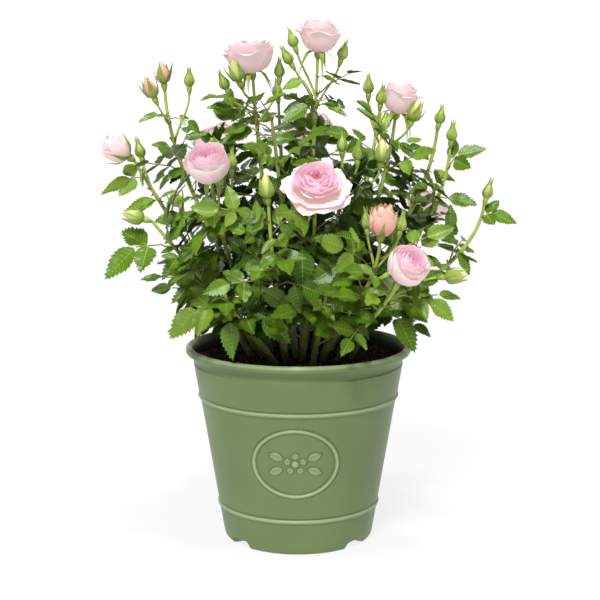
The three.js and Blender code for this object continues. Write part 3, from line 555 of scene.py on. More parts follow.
# %% [markdown]
# ## The rule of the plant
#
# The solids were grown by a rule: each shoot has a foot in the compost and a tip where its flower sits, a cane swings
# from one to the other, side stalks leave it near the top, and leaves follow each other round it by the golden angle.
# The same rule is written here again, with the same seeds. So each fine leaf lies where the solid one lies, and the
# fine plant has the solid plant's outline.

# %% The shoots
def rose(kind, width, height, look):
    return {"kind": kind, "width": width, "height": height, "look": look}


def tint_bud(look=(0, 0, 1)):
    return rose("tint", 17, 31, look)


def green_bud(look=(0, 0, 1)):
    return rose("green", 11, 29, look)


def stalk(at, by, flower):
    return {"at": at, "by": by, "flower": flower}


def shoot(name, foot, tip, bare, leaves, turn, seed, flower=None, stalks=()):
    return {"name": name, "foot": foot, "tip": tip, "bare": bare, "leaves": leaves, "turn": turn, "seed": seed,
            "flower": flower, "stalks": stalks}


SHOOTS = [
    shoot("left_front", (-34, -16), (-81, -70, 364), 0.32, 4, 150, 11, rose("globe", 42, 38, (-0.1, -0.62, 0.75)), [
        stalk(0.72, (0, -24, 36), green_bud((0.1, -0.2, 1))), stalk(0.66, (9, -15, 62), green_bud())]),
    shoot("left_low", (-38, 4), (-159, -20, 381), 0.32, 4, 307, 12, rose("half", 27, 34, (-0.72, -0.2, 0.5)), [
        stalk(0.84, (-9, 8, 24), green_bud((-0.25, 0, 1)))]),
    shoot("left_bud", (-26, -27), (-139, -52, 325), 0.34, 3, 85, 13, tint_bud((-0.95, -0.1, 0.3))),
    shoot("left_tall", (-27, 18), (-131, 10, 446), 0.3, 4, 80, 14, tint_bud((-0.1, 0, 1)), [
        stalk(0.87, (-11, -6, 20), tint_bud((-0.45, 0, 1))), stalk(0.8, (15, 3, 48), green_bud())]),
    shoot("mid_left", (-14, -4), (-44, 0, 458), 0.3, 4, 310, 15, rose("cup", 50, 36, (-0.12, -0.08, 1)), [
        stalk(0.86, (-25, -1, 19), green_bud((-0.45, 0, 1))), stalk(0.9, (-12, -13, 16), tint_bud((-0.35, -0.2, 1))),
        stalk(0.82, (22, 9, 40), green_bud())]),
    shoot("top", (4, 8), (19, 10, 478), 0.3, 4, 200, 16, rose("cup", 41, 36, (0.08, -0.08, 1)), [
        stalk(0.86, (-18, 1, 42), green_bud((-0.35, 0, 1))), stalk(0.83, (-20, -7, 35), green_bud((-0.6, -0.1, 1))),
        stalk(0.82, (23, 7, 41), green_bud((0.3, 0, 1)))]),
    shoot("right_mid", (25, -4), (94, -10, 420), 0.26, 5, 30, 17, rose("cup", 37, 34, (0.2, -0.1, 1)), [
        stalk(0.88, (16, -11, 18), tint_bud((0.4, -0.1, 1))), stalk(0.78, (-17, 8, 66), green_bud()),
        stalk(0.82, (-9, -10, 48), green_bud((0.1, -0.2, 1)))]),
    shoot("right_tall", (32, 20), (138, 20, 407), 0.26, 4, 260, 19, green_bud((0.2, 0, 1))),
    shoot("right_out", (40, 6), (149, -2, 391), 0.32, 4, 40, 20, green_bud((0.1, 0, 1))),
    shoot("far_right", (42, -10), (182, -12, 336), 0.38, 3, 307, 21, green_bud((0.25, 0, 1))),
    shoot("right_front", (24, -26), (75, -106, 312), 0.5, 2, 280, 22, rose("opening", 29, 36, (0.1, -0.25, 1)), [
        stalk(0.78, (22, -7, 32), green_bud((0.2, 0, 1))), stalk(0.8, (-6, 6, 30), green_bud((-0.1, 0, 1)))]),
    shoot("right_low", (38, -30), (91, -114, 280), 0.4, 3, 340, 23, rose("globe", 39, 36, (0.35, -0.72, 0.6)), [
        stalk(0.74, (47, 4, 23), tint_bud((0.95, -0.1, 0.1)))]),
    shoot("centre_front", (4, -30), (16, -94, 350), 0.28, 4, 210, 24, rose("full", 64, 32, (0.03, -0.62, 0.78)), [
        stalk(0.72, (-14, -16, 16), green_bud((-0.2, -0.1, 1)))]),
    shoot("centre_left", (-12, -36), (-27, -108, 345), 0.28, 4, 120, 25, tint_bud((-0.1, -0.1, 1))),
    shoot("inner_right", (16, 30), (42, -40, 383), 0.28, 5, 60, 26, green_bud(), [
        stalk(0.85, (15, -7, 21), green_bud((0.05, 0, 1))), stalk(0.78, (37, -18, 33), tint_bud((0.1, -0.1, 1)))]),
    shoot("back_high", (-8, 26), (-20, 56, 432), 0.3, 7, 15, 32, green_bud((-0.1, 0.1, 1))),
    shoot("back_left", (-26, 40), (-80, 96, 372), 0.28, 6, 170, 27, rose("cup", 44, 38, (-0.3, 0.6, 0.7)), [
        stalk(0.8, (-18, 8, 40), green_bud((-0.2, 0.1, 1)))]),
    shoot("back_mid", (4, 46), (12, 122, 384), 0.28, 6, 90, 28, rose("cup", 46, 38, (0, 0.65, 0.7)), [
        stalk(0.8, (16, 10, 40), green_bud((0.2, 0.1, 1)))]),
    shoot("back_right", (30, 40), (80, 84, 398), 0.28, 6, 10, 29, tint_bud((0.3, 0.4, 0.85)), [
        stalk(0.8, (14, 8, 40), green_bud((0.2, 0.1, 1)))]),
    shoot("back_low_left", (-44, 28), (-122, 104, 318), 0.3, 5, 190, 30, tint_bud((-0.5, 0.4, 0.8))),
    shoot("back_low_right", (48, 28), (124, 104, 306), 0.3, 5, 40, 31, rose("cup", 42, 38, (0.5, 0.6, 0.6))),
    shoot("inner_left", (-2, -16), (-26, -30, 424), 0.45, 6, 75, 46),
    shoot("skirt_front_left", (-22, -42), (-70, -86, 262), 0.45, 4, 225, 41),
    shoot("skirt_front", (14, -46), (26, -96, 262), 0.45, 5, 270, 42),
    shoot("skirt_left", (-48, -8), (-88, -30, 284), 0.45, 4, 200, 43),
    shoot("skirt_right", (52, -22), (86, -44, 274), 0.45, 4, 320, 44),
    shoot("skirt_back", (8, 60), (16, 108, 275), 0.45, 5, 90, 45),
]
print("shoots:", len(SHOOTS), "flowers and buds:", sum(bool(s["flower"]) + len(s["stalks"]) for s in SHOOTS))

# %% Vectors, curves and seeded numbers
UP = np.array((0.0, 0.0, 1.0))


def vec(*numbers):
    return np.array(numbers, float)


def length_of(v):
    return np.linalg.norm(v)


def unit(v):
    return v / np.linalg.norm(v)


def mix(a, b, share):
    return (1 - share) * a + share * b


def about(v, axis, angle):
    """v turned about a unit axis by an angle in radians."""
    lengthwise = axis * np.dot(axis, v) * (1 - math.cos(angle))
    return v * math.cos(angle) + np.cross(axis, v) * math.sin(angle) + lengthwise


def way_point(way, share):
    a, b, c, d = way
    rest = 1 - share
    return rest**3 * a + 3 * rest**2 * share * b + 3 * rest * share**2 * c + share**3 * d


def way_heading(way, share):
    return unit(way_point(way, min(share + 1e-4, 1)) - way_point(way, max(share - 1e-4, 0)))


def draws(seed):
    """Gives a function whose numbers from 0 to 1 are always the same for a seed."""
    state = seed * 7919 + 17

    def draw():
        nonlocal state
        state = (1664525 * state + 1013904223) % 4294967296
        return state / 4294967296

    return draw

# %% The ways of canes and stalks
CANE = {"foot": 3.3, "tip": 1.5, "outwards": 1.15, "upwards": 0.9}  # radii, and how a cane leaves and arrives
STALK_RADIUS = 1.15


def cane_way(shoot):
    foot, tip = vec(*shoot["foot"], SOIL["top"] + SOIL["clear"]), vec(*shoot["tip"])
    reach = length_of(tip - foot)
    outward = vec(tip[0] - foot[0], tip[1] - foot[1], 0) / reach
    start = unit(UP + outward * CANE["outwards"])
    look = unit(vec(*shoot["flower"]["look"])) if shoot["flower"] else unit(outward + UP * 0.35)
    arrival = unit(look + UP * CANE["upwards"])
    return foot, foot + start * reach * 0.36, tip - arrival * reach * 0.3, tip


def stalk_way(way, side):
    start, by = way_point(way, side["at"]), vec(*side["by"])
    reach = length_of(by)
    out = unit(by + way_heading(way, side["at"]) * reach * 0.4)
    return start, start + out * reach * 0.35, start + by - unit(vec(*side["flower"]["look"])) * reach * 0.3, start + by


def cane_radius(share):
    return mix(CANE["foot"], CANE["tip"], share**0.8)


ways = {s["name"]: cane_way(s) for s in SHOOTS}
cane_lengths = [length_of(way[3] - way[0]) for way in ways.values()]
print("canes from", round(min(cane_lengths)), "to", round(max(cane_lengths)), "mm long")

# %% [markdown]
# ## Canes, twigs and leaf stalks
#
# A limb is a round section that follows a path and gets thinner. Curve to Mesh does this for a whole bundle of curves
# at once, with the radius kept on their points. A noise then lifts the skin a little: ridges and scars on the woody
# canes, less on the green twigs. The tree's inputs set the sides and the relief, so one tree serves all three kinds.

# %% Geometry Nodes: limbs along curves
def limb_tree(material):
    tree, given = node_tree("limbs", {"Sides": ("Int", 8), "Relief": ("Float", 0.0), "Lump": ("Float", 0.004)})
    circle = node(tree, "GeometryNodeCurvePrimitiveCircle", {"Resolution": given["Sides"], "Radius": 1})
    sweep = node(tree, "GeometryNodeCurveToMesh", {
        "Curve": given["Geometry"], "Profile Curve": circle.outputs["Curve"],
        "Scale": node(tree, "GeometryNodeInputRadius").outputs[0], "Fill Caps": True})
    finer = node(tree, "ShaderNodeMath", {0: 1, 1: given["Lump"]}, operation="DIVIDE").outputs[0]
    here = node(tree, "GeometryNodeInputPosition").outputs[0]
    lumps = node(tree, "ShaderNodeTexNoise", {"Vector": here, "Scale": finer}).outputs["Fac"]
    centred = node(tree, "ShaderNodeMath", {0: lumps, 1: 0.5}, operation="SUBTRACT").outputs[0]
    amount = node(tree, "ShaderNodeMath", {0: centred, 1: given["Relief"]}, operation="MULTIPLY").outputs[0]
    normal = node(tree, "GeometryNodeInputNormal").outputs[0]
    lift = node(tree, "ShaderNodeVectorMath", {0: normal, "Scale": amount}, operation="SCALE").outputs[0]
    shift = node(tree, "GeometryNodeSetPosition", {"Geometry": sweep.outputs[0], "Offset": lift}).outputs[0]
    smooth = node(tree, "GeometryNodeSetShadeSmooth", {"Geometry": shift}).outputs[0]
    return ended(tree, smooth, material)


def limbs(name, paths, material, sides, *replaced, relief=0.0, lump=4.0):
    """A bundle of limbs. Each path is (points, radii) in millimetres."""
    bundle = bpy.data.curves.new(name, "CURVE")
    bundle.dimensions = "3D"
    for points, radii in paths:
        spline = bundle.splines.new("POLY")
        spline.points.add(len(points) - 1)
        spline.points.foreach_set("co", np.column_stack([np.array(points) * MM, np.ones(len(points))]).ravel())
        spline.points.foreach_set("radius", np.array(radii) * MM)
    start = placed(bundle, name + "_paths")
    piece = grown(name, start, limb_tree(material), {"Sides": sides, "Relief": relief * MM, "Lump": lump * MM})
    bpy.data.objects.remove(start)
    print(len(paths), "limbs in", name)
    return dressed(piece, "cane", *replaced)

# %% Canes up to their leaves, and the twigs that go on from them
def path_of(way, first, last, step, radius_at, swelling, every=34.0):
    """Points and radii along a way. Nodes, where leaves sit, swell a little."""
    whole = length_of(way[3] - way[0])
    shares = np.linspace(first, last, max(4, int(whole * (last - first) / step)))
    radii = []
    for share in shares:
        at_node = math.exp(-(((share * whole % every) - every / 2) / 2.2) ** 2)
        radii.append(radius_at(share) * (1 + swelling * at_node))
    return [way_point(way, s) for s in shares], radii


cane_paths, twig_paths = [], []
for s in SHOOTS:
    way = ways[s["name"]]
    cane_paths.append(path_of(way, 0, s["bare"], 1.6, cane_radius, 0.16))
    twig_paths.append(path_of(way, s["bare"] - 0.004, 1, 4, cane_radius, 0.12))
    for side in s["stalks"]:
        twig_paths.append(path_of(stalk_way(way, side), 0, 1, 4, lambda share: STALK_RADIUS, 0.1, 21))

cane_nodes = ["cane_" + s["name"] for s in SHOOTS]
foliage_nodes = ["foliage_" + s["name"] for s in SHOOTS]
wood = finish("cane_bark", (134, 142, 66), (84, 98, 36), 14, 0.9, 0.25, 0.55)
green_wood = finish("twig_skin", (176, 194, 92), (128, 154, 54), 26, 0.8, 0.1, 0.42)
limbs("canes", cane_paths, wood, 14, *cane_nodes, relief=0.7, lump=5.0)
limbs("twigs", twig_paths, green_wood, 8, *foliage_nodes, relief=0.15, lump=3.0)

# %% [markdown]
# ## Where each leaf lies
#
# A rose leaf has a stalk, a rachis that carries on from it, one or two pairs of side leaflets and a larger one at its
# end. The plan of a leaf draws its numbers in a fixed order. The solid plant turned some leaves aside, to keep them
# clear of their neighbours, and left out leaflets that still touched. To find what it kept, each leaflet's tip is
# looked up among the corners of the solid it belongs to.

# %% Sizes of a leaf
LEAF = {
    "stalk": 22, "rachis": 33, "blade": 43, "pairs": ((0, 0.72), (0.52, 0.88)), "breadth": 0.57, "curl": 0.08,
    "forward": 0.5, "rise": 55, "droop": (0.02, 0.4), "low_droop": 0.15, "roll": 70, "sun": (-0.15, -0.5, 0.85),
    "lean": 0.45, "outwards": 0.8, "golden_turn": 137.5, "attempts": (0, 40, -40, 80, -80), "few_from": 0.7,
    "highest": 0.88, "highest_leafy": 0.97, "smallest": 0.85,
}
CROWN = [  # height, radius, and how far the crown goes to the left and to the right
    (190, 78, -72, 92), (205, 112, -92, 104), (222, 138, -112, 110), (241, 152, -126, 120), (262, 168, -130, 132),
    (282, 178, -128, 150), (302, 190, -142, 150), (325, 200, -146, 156), (345, 200, -152, 150), (365, 196, -150, 148),
    (385, 190, -134, 142), (403, 180, -124, 118), (425, 160, -120, 96), (445, 130, -96, 80), (463, 100, -50, 48),
    (490, 60, -28, 32), (515, 40, -22, 28),
]
BOW = {"knee": 0.35, "rise": 0.08, "droop": 0.2, "attempts": (0, -8, 8, -16, 16)}
PLACED = {  # leaves set one by one: share of the stem, where the end leaflet starts, its tip, pairs of side leaflets
    "left_front": [(0.5, (-49, -84, 291), (-23, -96, 275), 1)],
    "left_low": [(0.9, (-163, -16, 364), (-193, -22, 348), 1), (0.78, (-138, -16, 343), (-168, -26, 336), 1)],
    "left_bud": [(0.8, (-154, -62, 302), (-185, -70, 273), 1), (0.7, (-111, -54, 291), (-132, -62, 272), 1),
                 (0.85, (-109, -54, 321), (-128, -62, 305), 0)],
    "left_tall": [(0.9, (-136, 4, 424), (-157, -4, 419), 1), (0.9, (-110, 14, 418), (-96, 18, 406), 1),
                  (0.67, (-126, 0, 393), (-159, -8, 399), 1), (0.64, (-109, -4, 373), (-129, -14, 362), 0)],
    "mid_left": [(0.85, (-62, -6, 432), (-90, -12, 434), 1), (0.8, (-43, -10, 410), (-78, -20, 400), 0),
                 (0.67, (-47, -14, 391), (-76, -22, 401), 1), (0.78, (-28, -4, 400), (-1, -8, 402), 0)],
    "top": [(0.76, (10, -2, 434), (-17, -12, 417), 1), (0.84, (5, 6, 458), (-17, 2, 451), 0),
            (0.82, (24, 2, 435), (48, -4, 423), 1), (0.93, (23, 4, 462), (42, 0, 453), 0),
            (0.65, (12, -6, 395), (-9, -12, 401), 1)],
    "right_mid": [(0.8, (50, -14, 405), (22, -22, 411), 1), (0.88, (98, -14, 398), (113, -20, 382), 0)],
    "right_tall": [(0.82, (133, 16, 367), (158, 12, 361), 0), (0.76, (129, 8, 354), (108, 2, 348), 1)],
    "right_out": [(0.9, (155, -8, 385), (184, -12, 394), 1), (0.77, (146, -8, 343), (176, -14, 340), 0)],
    "far_right": [(0.93, (187, -16, 329), (215, -20, 322), 1), (0.72, (149, -18, 313), (149, -18, 339), 1),
                  (0.68, (155, -26, 292), (169, -32, 270), 1)],
    "right_front": [(0.62, (45, -102, 295), (9, -116, 275), 1)],
    "right_low": [(0.8, (122, -98, 257), (146, -104, 239), 1)],
    "centre_front": [(0.62, (4, -106, 307), (4, -118, 269), 1)],
    "centre_left": [(0.9, (-34, -114, 340), (-53, -120, 330), 0), (0.35, (-33, -94, 241), (-7, -104, 217), 1)],
    "skirt_front_left": [(0.8, (-95, -84, 247), (-122, -88, 218), 1), (0.55, (-63, -90, 236), (-63, -102, 200), 1)],
    "skirt_left": [(0.75, (-95, -40, 263), (-124, -52, 249), 1), (0.85, (-84, -38, 271), (-108, -46, 276), 0)],
    "skirt_right": [(0.9, (100, -62, 246), (125, -70, 233), 1), (0.75, (94, -74, 236), (112, -86, 205), 1)],
}

BEFORE_BACK_FLOWERS = {  # finer leaves in front of the flowers at the back, written in the same way
    "back_left": [(0.8, (-87, 62, 390), (-103, 52, 406), 1), (0.8, (-80, 62, 394), (-78, 52, 418), 1),
                  (0.8, (-75, 62, 390), (-56, 52, 405), 1), (0.8, (-92, 62, 384), (-70, 52, 372), 1),
                  (0.8, (-86, 60, 401), (-63, 52, 410), 1), (0.8, (-88, 60, 399), (-110, 52, 407), 1),
                  (0.8, (-84, 58, 396), (-86, 48, 414), 1), (0.8, (-76, 58, 386), (-98, 48, 384), 1)],
    "left_tall": [(0.7, (-107, 0, 374), (-129, -8, 360), 1)],
    "back_mid": [(0.8, (7, 88, 399), (-8, 78, 419), 1), (0.8, (13, 88, 404), (14, 78, 428), 1),
                 (0.8, (17, 88, 399), (34, 78, 415), 1), (0.8, (2, 88, 395), (25, 78, 392), 1),
                 (0.8, (22, 86, 404), (22, 74, 424), 1), (0.8, (4, 86, 404), (2, 74, 424), 1)],
    "back_low_right": [(0.8, (122, 74, 321), (113, 64, 343), 1), (0.8, (130, 74, 325), (139, 64, 347), 1),
                       (0.8, (127, 74, 317), (147, 64, 322), 1), (0.8, (120, 70, 314), (126, 58, 334), 1),
                       (0.8, (132, 70, 314), (144, 58, 334), 1)],
}

# %% The plan of a leaf
def leaf_frame(heading, light, roll):
    face = about(unit(light - heading * np.dot(light, heading)), heading, roll)
    return {"heading": heading, "face": face, "sideways": np.cross(heading, face)}


def leaflet(base, along, face, length):
    top = unit(face - along * np.dot(face, along))
    tip = base + along * length - top * LEAF["curl"] * length
    return {"base": base, "along": along, "top": top, "across": np.cross(along, top), "length": length, "tip": tip}


def side_leaflets(knee, end, leaf_axes, size, pairs, droop, draw):
    found = []
    for place, share_of_end in pairs:
        for side in (1, -1):
            aim = leaf_axes["heading"] * LEAF["forward"] + leaf_axes["sideways"] * side - UP * droop * 0.3
            length = LEAF["blade"] * size * share_of_end * mix(0.94, 1.06, draw())
            found.append(leaflet(mix(knee, end, place), unit(aim), leaf_axes["face"], length))
    return found


def towards_light(at):
    """Where the light comes from for a leaf: the sun's side, and away from the crown's middle."""
    return unit(vec(*LEAF["sun"]) + unit(vec(at[0], at[1], 0)) * LEAF["lean"])


def leaf_at(way, share, size, spin, droop, roll, pairs, draw):
    """A leaf on a way: its stalk's points and its leaflets."""
    at, along = way_point(way, share), way_heading(way, share)
    outward = unit(vec(at[0], at[1], 0))
    aside = (spin % 360 + 540) % 360 - 180
    bearing = about(outward, UP, math.radians(aside * LEAF["outwards"]))
    bearing = unit(bearing - along * np.dot(bearing, along))
    rise = math.radians(LEAF["rise"])
    heading = bearing * math.sin(rise) + along * math.cos(rise)
    axes = leaf_frame(unit(heading - UP * droop), towards_light(at), roll)
    knee = at + unit(heading) * LEAF["stalk"] * size
    end = knee + axes["heading"] * LEAF["rachis"] * size
    leaflets = side_leaflets(knee, end, axes, size, pairs, droop, draw)
    tip_aim = unit(axes["heading"] - UP * droop * 0.5)
    leaflets.append(leaflet(end, tip_aim, axes["face"], LEAF["blade"] * size))
    face = axes["face"]
    return {"at": at, "knee": knee, "end": end, "face": face, "size": size, "leaflets": leaflets, "height": share}


def planned_leaf(shoot, index, attempt):
    draw = draws(shoot["seed"] * 64 + index)
    rank = index / (shoot["leaves"] - 1)
    highest = LEAF["highest"] if shoot["flower"] else LEAF["highest_leafy"]
    share = mix(shoot["bare"] + 0.04, highest, rank) + (draw() - 0.5) * 0.03
    size = mix(1, LEAF["smallest"], rank**1.5) * mix(0.9, 1.1, draw())
    spin = shoot["turn"] + index * LEAF["golden_turn"] + (draw() - 0.5) * 30 + LEAF["attempts"][attempt]
    droop = mix(*LEAF["droop"], draw()) + LEAF["low_droop"] * (1 - rank)
    roll = math.radians((draw() - 0.5) * LEAF["roll"])
    pairs = LEAF["pairs"][1:] if rank > LEAF["few_from"] else LEAF["pairs"]
    return leaf_at(ways[shoot["name"]], share, size, spin, droop, roll, pairs, draw)


def placed_leaf(shoot, index, attempt, table=PLACED):
    """A leaf that is set one by one: its stalk bows up from the stem to where its end leaflet starts."""
    share, start, reach, pair_count = table[shoot["name"]][index]
    at = way_point(ways[shoot["name"]], share)
    shift = vec(0, BOW["attempts"][attempt], 0)
    end, tip = vec(*start) + shift, vec(*reach) + shift
    length = length_of(tip - end)
    knee = mix(at, end, BOW["knee"]) + UP * BOW["rise"] * length_of(end - at)
    axes, size = leaf_frame(unit(end - knee), towards_light(at), 0), length / LEAF["blade"]
    pairs = LEAF["pairs"][len(LEAF["pairs"]) - pair_count :]
    leaflets = side_leaflets(knee, end, axes, size, pairs, BOW["droop"], draws(shoot["seed"] * 64 + 32 + index))
    aim = unit(tip - end)
    leaflets.append(leaflet(end, aim, leaf_frame(aim, towards_light(at), 0)["face"], length))
    face = axes["face"]
    return {"at": at, "knee": knee, "end": end, "face": face, "size": size, "leaflets": leaflets, "height": share}

# %% Keep the leaves that the solids have
def corners_of(node_name):
    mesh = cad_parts[node_name].data
    tree = kdtree.KDTree(len(mesh.vertices))
    for i, vertex in enumerate(mesh.vertices):
        tree.insert(vertex.co / MM, i)
    tree.balance()
    return tree


def as_in_solid(corners, plans):
    """The one of a leaf's plans that has the most leaflets in the solid."""
    best = {"found": 0}
    for plan in plans:
        for one in plan["leaflets"]:
            one["kept"] = corners.find(Vector(one["tip"]))[2] < 0.1
        found = sum(one["kept"] for one in plan["leaflets"])
        if found > best["found"]:
            best = {**plan, "found": found}
    return best


def plans_of(shoot):
    """The possible plans of each leaf of a shoot: first of those set one by one, then of the others."""
    for rule, count, attempts in (
        (placed_leaf, len(PLACED.get(shoot["name"], [])), BOW["attempts"]),
        (planned_leaf, shoot["leaves"], LEAF["attempts"]),
    ):
        for index in range(count):
            yield rule is planned_leaf, [rule(shoot, index, attempt) for attempt in range(len(attempts))]


leaves, left_out = [], 0
for s in SHOOTS:
    corners = corners_of("foliage_" + s["name"])
    for is_planned, plans in plans_of(s):
        best = as_in_solid(corners, plans)
        if best["found"]:
            leaves.append({**best, "is_planned": is_planned})
        else:
            left_out += 1
print("leaves:", len(leaves), "left out:", left_out)
print("leaflets that are in the solids:", sum(leaf["found"] for leaf in leaves))

# %% [markdown]
# ## Finer growth
#
# Between the large leaves a rose has many smaller ones, on the canes and on short side twigs. They follow the same
# rule with smaller sizes. A small leaf is left out where it would reach out of the crown, crowd a leaflet that is
# already there, or cover a flower.

# %% Where flowers sit
CLOSED = ("tint", "green")  # buds, half coloured and still green
blooms = []
for s in SHOOTS:
    way = ways[s["name"]]
    heads = [(s["flower"], way)] if s["flower"] else []
    heads += [(side["flower"], stalk_way(way, side)) for side in s["stalks"]]
    for flower, its_way in heads:
        base, axis = its_way[3], unit(vec(*flower["look"]))
        centre = base + axis * flower["height"] * 0.6
        blooms.append({**flower, "shoot": s["name"], "base": base, "axis": axis, "centre": centre})
print("flowers:", sum(b["kind"] not in CLOSED for b in blooms), "buds:", sum(b["kind"] in CLOSED for b in blooms))

# %% Smaller leaves between the large ones
CROWN_COLUMNS = np.array(CROWN, float).T
ROOM = 9.5  # least distance between the middles of two leaflets
BARE_FRONT = {"behind": 40, "above": 226}  # no small leaves lower than this in front, where the compost shows
SMALL = {  # counts, sizes, and the share left out by height and, low down, by distance from the middle
    "per_cane": 15, "low": 4, "per_stalk": 3,
    "sizes": (0.5, 0.86), "low_sizes": (0.3, 0.55), "stalk_sizes": (0.34, 0.55),
    "open": ((340, 375, 400, 460), (0.0, 0.4, 0.75, 0.9)), "open_sides": ((60, 110), (0.0, 0.6)), "sides_below": 315,
    "full": 0.45, "roll": 90, "fewest": 2,
}


def crown_at(z):
    """The crown's radius at a height, and how far it goes to the left and to the right."""
    return [np.interp(z, CROWN_COLUMNS[0], column) for column in CROWN_COLUMNS[1:]]


def in_crown(tip):
    radius, left, right = crown_at(tip[2])
    return CROWN[0][0] <= tip[2] < CROWN[-1][0] and math.hypot(tip[0], tip[1]) < radius and left < tip[0] < right


def middle_of(one):
    return one["base"] + one["along"] * one["length"] * 0.5


def in_a_flower(one, share):
    """True where a leaflet's middle is nearer to a flower than its half width and a share of the leaflet's length."""
    middle = middle_of(one)
    return any(length_of(b["centre"] - middle) < b["width"] * 0.5 + one["length"] * share for b in blooms)


def fits(one):
    middle = middle_of(one)
    if not in_crown(one["tip"]) or np.min(np.linalg.norm(np.array(taken) - middle, axis=1)) < ROOM:
        return False
    in_front_of_compost = middle[1] < BARE_FRONT["behind"] and middle[2] < BARE_FRONT["above"]
    return not in_front_of_compost and not in_a_flower(one, 0.35)


def small_spots(s, draw):
    """Where small leaves may sit on a shoot: the way, the share of it and the range of sizes."""
    way, count, low = ways[s["name"]], SMALL["per_cane"], SMALL["low"]
    spots = [(way, mix(s["bare"] * 0.45, 0.93, (i + draw()) / count), SMALL["sizes"]) for i in range(count)]
    spots += [(way, mix(0.06, 0.34, (i + draw()) / low), SMALL["low_sizes"]) for i in range(low)]
    for side in s["stalks"]:
        side_way = stalk_way(way, side)
        spots += [(side_way, mix(0.06, 0.5, draw()), SMALL["stalk_sizes"]) for _ in range(SMALL["per_stalk"])]
    return spots


taken = [middle_of(one) for leaf in leaves for one in leaf["leaflets"]]
small_leaves = []
for s in SHOOTS:
    for i in range(len(BEFORE_BACK_FLOWERS.get(s["name"], []))):
        small_leaves.append(placed_leaf(s, i, 0, BEFORE_BACK_FLOWERS))
        taken += [middle_of(one) for one in small_leaves[-1]["leaflets"]]
for s in SHOOTS:
    draw = draws(s["seed"] + 500)
    for i, (way, share, sizes) in enumerate(small_spots(s, draw)):
        size = mix(*sizes, draw()) * mix(1.1, 0.75, share)
        pairs = LEAF["pairs"] if draw() < SMALL["full"] else LEAF["pairs"][1:]
        spin, droop = s["turn"] + 70 + i * LEAF["golden_turn"], mix(0, 0.5, draw())
        leaf = leaf_at(way, share, size, spin, droop, math.radians((draw() - 0.5) * SMALL["roll"]), pairs, draw)
        open_share = np.interp(leaf["end"][2], *SMALL["open"])
        if leaf["end"][2] < SMALL["sides_below"]:
            open_share = max(open_share, np.interp(abs(leaf["end"][0]), *SMALL["open_sides"]))
        if draw() < open_share:
            continue
        good = [one for one in leaf["leaflets"] if fits(one)]
        if len(good) >= SMALL["fewest"]:
            small_leaves.append({**leaf, "leaflets": good})
            taken += [middle_of(one) for one in good]
print("small leaves:", len(small_leaves), "leaflets in all:", len(taken))

# %% [markdown]
# ## Leaflets
#
# A rose leaflet is an oval with a toothed edge, folded a little along its midrib and bent down at its tip. One small
# mesh of a few dozen faces has this outline: a row of points on the midrib, one halfway out, one on the edge, and a
# tooth on each stretch of the edge. It is laid into each leaflet's own frame, with the fold, bend and twist drawn by
# seed, so no two are alike. Its map runs from stalk to tip and from edge to edge.

# %% The leaflet's outline and faces
STATIONS = np.array([0.0, 0.08, 0.18, 0.29, 0.4, 0.51, 0.62, 0.72, 0.82, 0.91, 1.0])
WIDTHS = np.array([0.12, 0.54, 0.84, 0.99, 1.0, 0.9, 0.73, 0.53, 0.31, 0.13, 0.0])
LAST = len(STATIONS) - 1
TOOTH = {"out": 0.19, "ahead": 1.1, "between": 0.9}
HALFWAY = 0.5


def leaflet_shape():
    """Points as (ahead, aside, how near the edge) and faces. Ahead and aside are shares of length and half width."""
    points = [(t, 0, 0) for t in STATIONS]
    faces = []
    for side in (1, -1):
        start = len(points)
        edge, teeth = start + LAST - 1, start + 2 * LAST - 1
        points += [(STATIONS[i], side * HALFWAY * WIDTHS[i], HALFWAY) for i in range(1, LAST)]
        points += [(STATIONS[i], side * WIDTHS[i], 1) for i in range(LAST)]
        for i in range(LAST - 1):
            ahead = mix(STATIONS[i], STATIONS[i + 1], TOOTH["ahead"])
            points.append((ahead, side * (mix(WIDTHS[i], WIDTHS[i + 1], TOOTH["between"]) + TOOTH["out"]), 1.1))
        new = [(0, edge, edge + 1, start), (0, start, 1, -1)]
        for i in range(1, LAST - 1):
            new.append((i, start + i - 1, start + i, i + 1))
            new.append((start + i - 1, edge + i, edge + i + 1, start + i))
        new += [(LAST - 1, start + LAST - 2, LAST, -1), (start + LAST - 2, edge + LAST - 1, LAST, -1)]
        new += [(edge + i, teeth + i, edge + i + 1, -1) for i in range(LAST - 1)]
        if side < 0:
            new = [face[::-1] if face[3] >= 0 else (face[2], face[1], face[0], -1) for face in new]
        faces += new
    return np.array(points, float), np.array(faces)


SHAPE, SHAPE_FACES = leaflet_shape()
SHAPE_MAP = np.column_stack([0.5 + SHAPE[:, 1] * 0.45, SHAPE[:, 0]])
print("a leaflet has", len(SHAPE_FACES), "faces")

# %% Lay a leaflet
def lay_leaflet(one, draw):
    """The leaflet's points, folded, bent and a little wavy."""
    fold, bend = mix(0.16, 0.75, draw()), mix(0.02, 0.24, draw())
    twist, wave, phase = mix(-0.4, 0.4, draw()), mix(0.02, 0.1, draw()), draw() * 6.3
    length, half = one["length"], one["length"] * LEAF["breadth"] / 2
    ahead, aside, edge = SHAPE.T
    ripple = wave * half * edge * np.sin(ahead * 19 + phase + np.sign(aside))
    above = half * fold * (np.abs(aside) ** 0.85 - 0.35 * aside**2 - 0.3 * np.sin(np.pi * ahead)) + ripple
    above = above - bend * length * ahead**2.2
    turn = twist * ahead
    wide = half * aside * (0.98 - 0.18 * fold)
    across = wide * np.cos(turn) - above * np.sin(turn) * 0.3
    up = above + wide * np.sin(turn)
    return (
        one["base"] + np.outer(0.05 * length + 0.95 * length * ahead, one["along"]) + np.outer(across, one["across"])
        + np.outer(up, one["top"])
    )

# %% Veins: thin ridges on the larger leaflets
VEIN = {"lift": 0.16, "midrib": (0.42, 0.12), "side": (0.2, 0.15, 0.08), "turns": 0.45, "ends": 0.8}


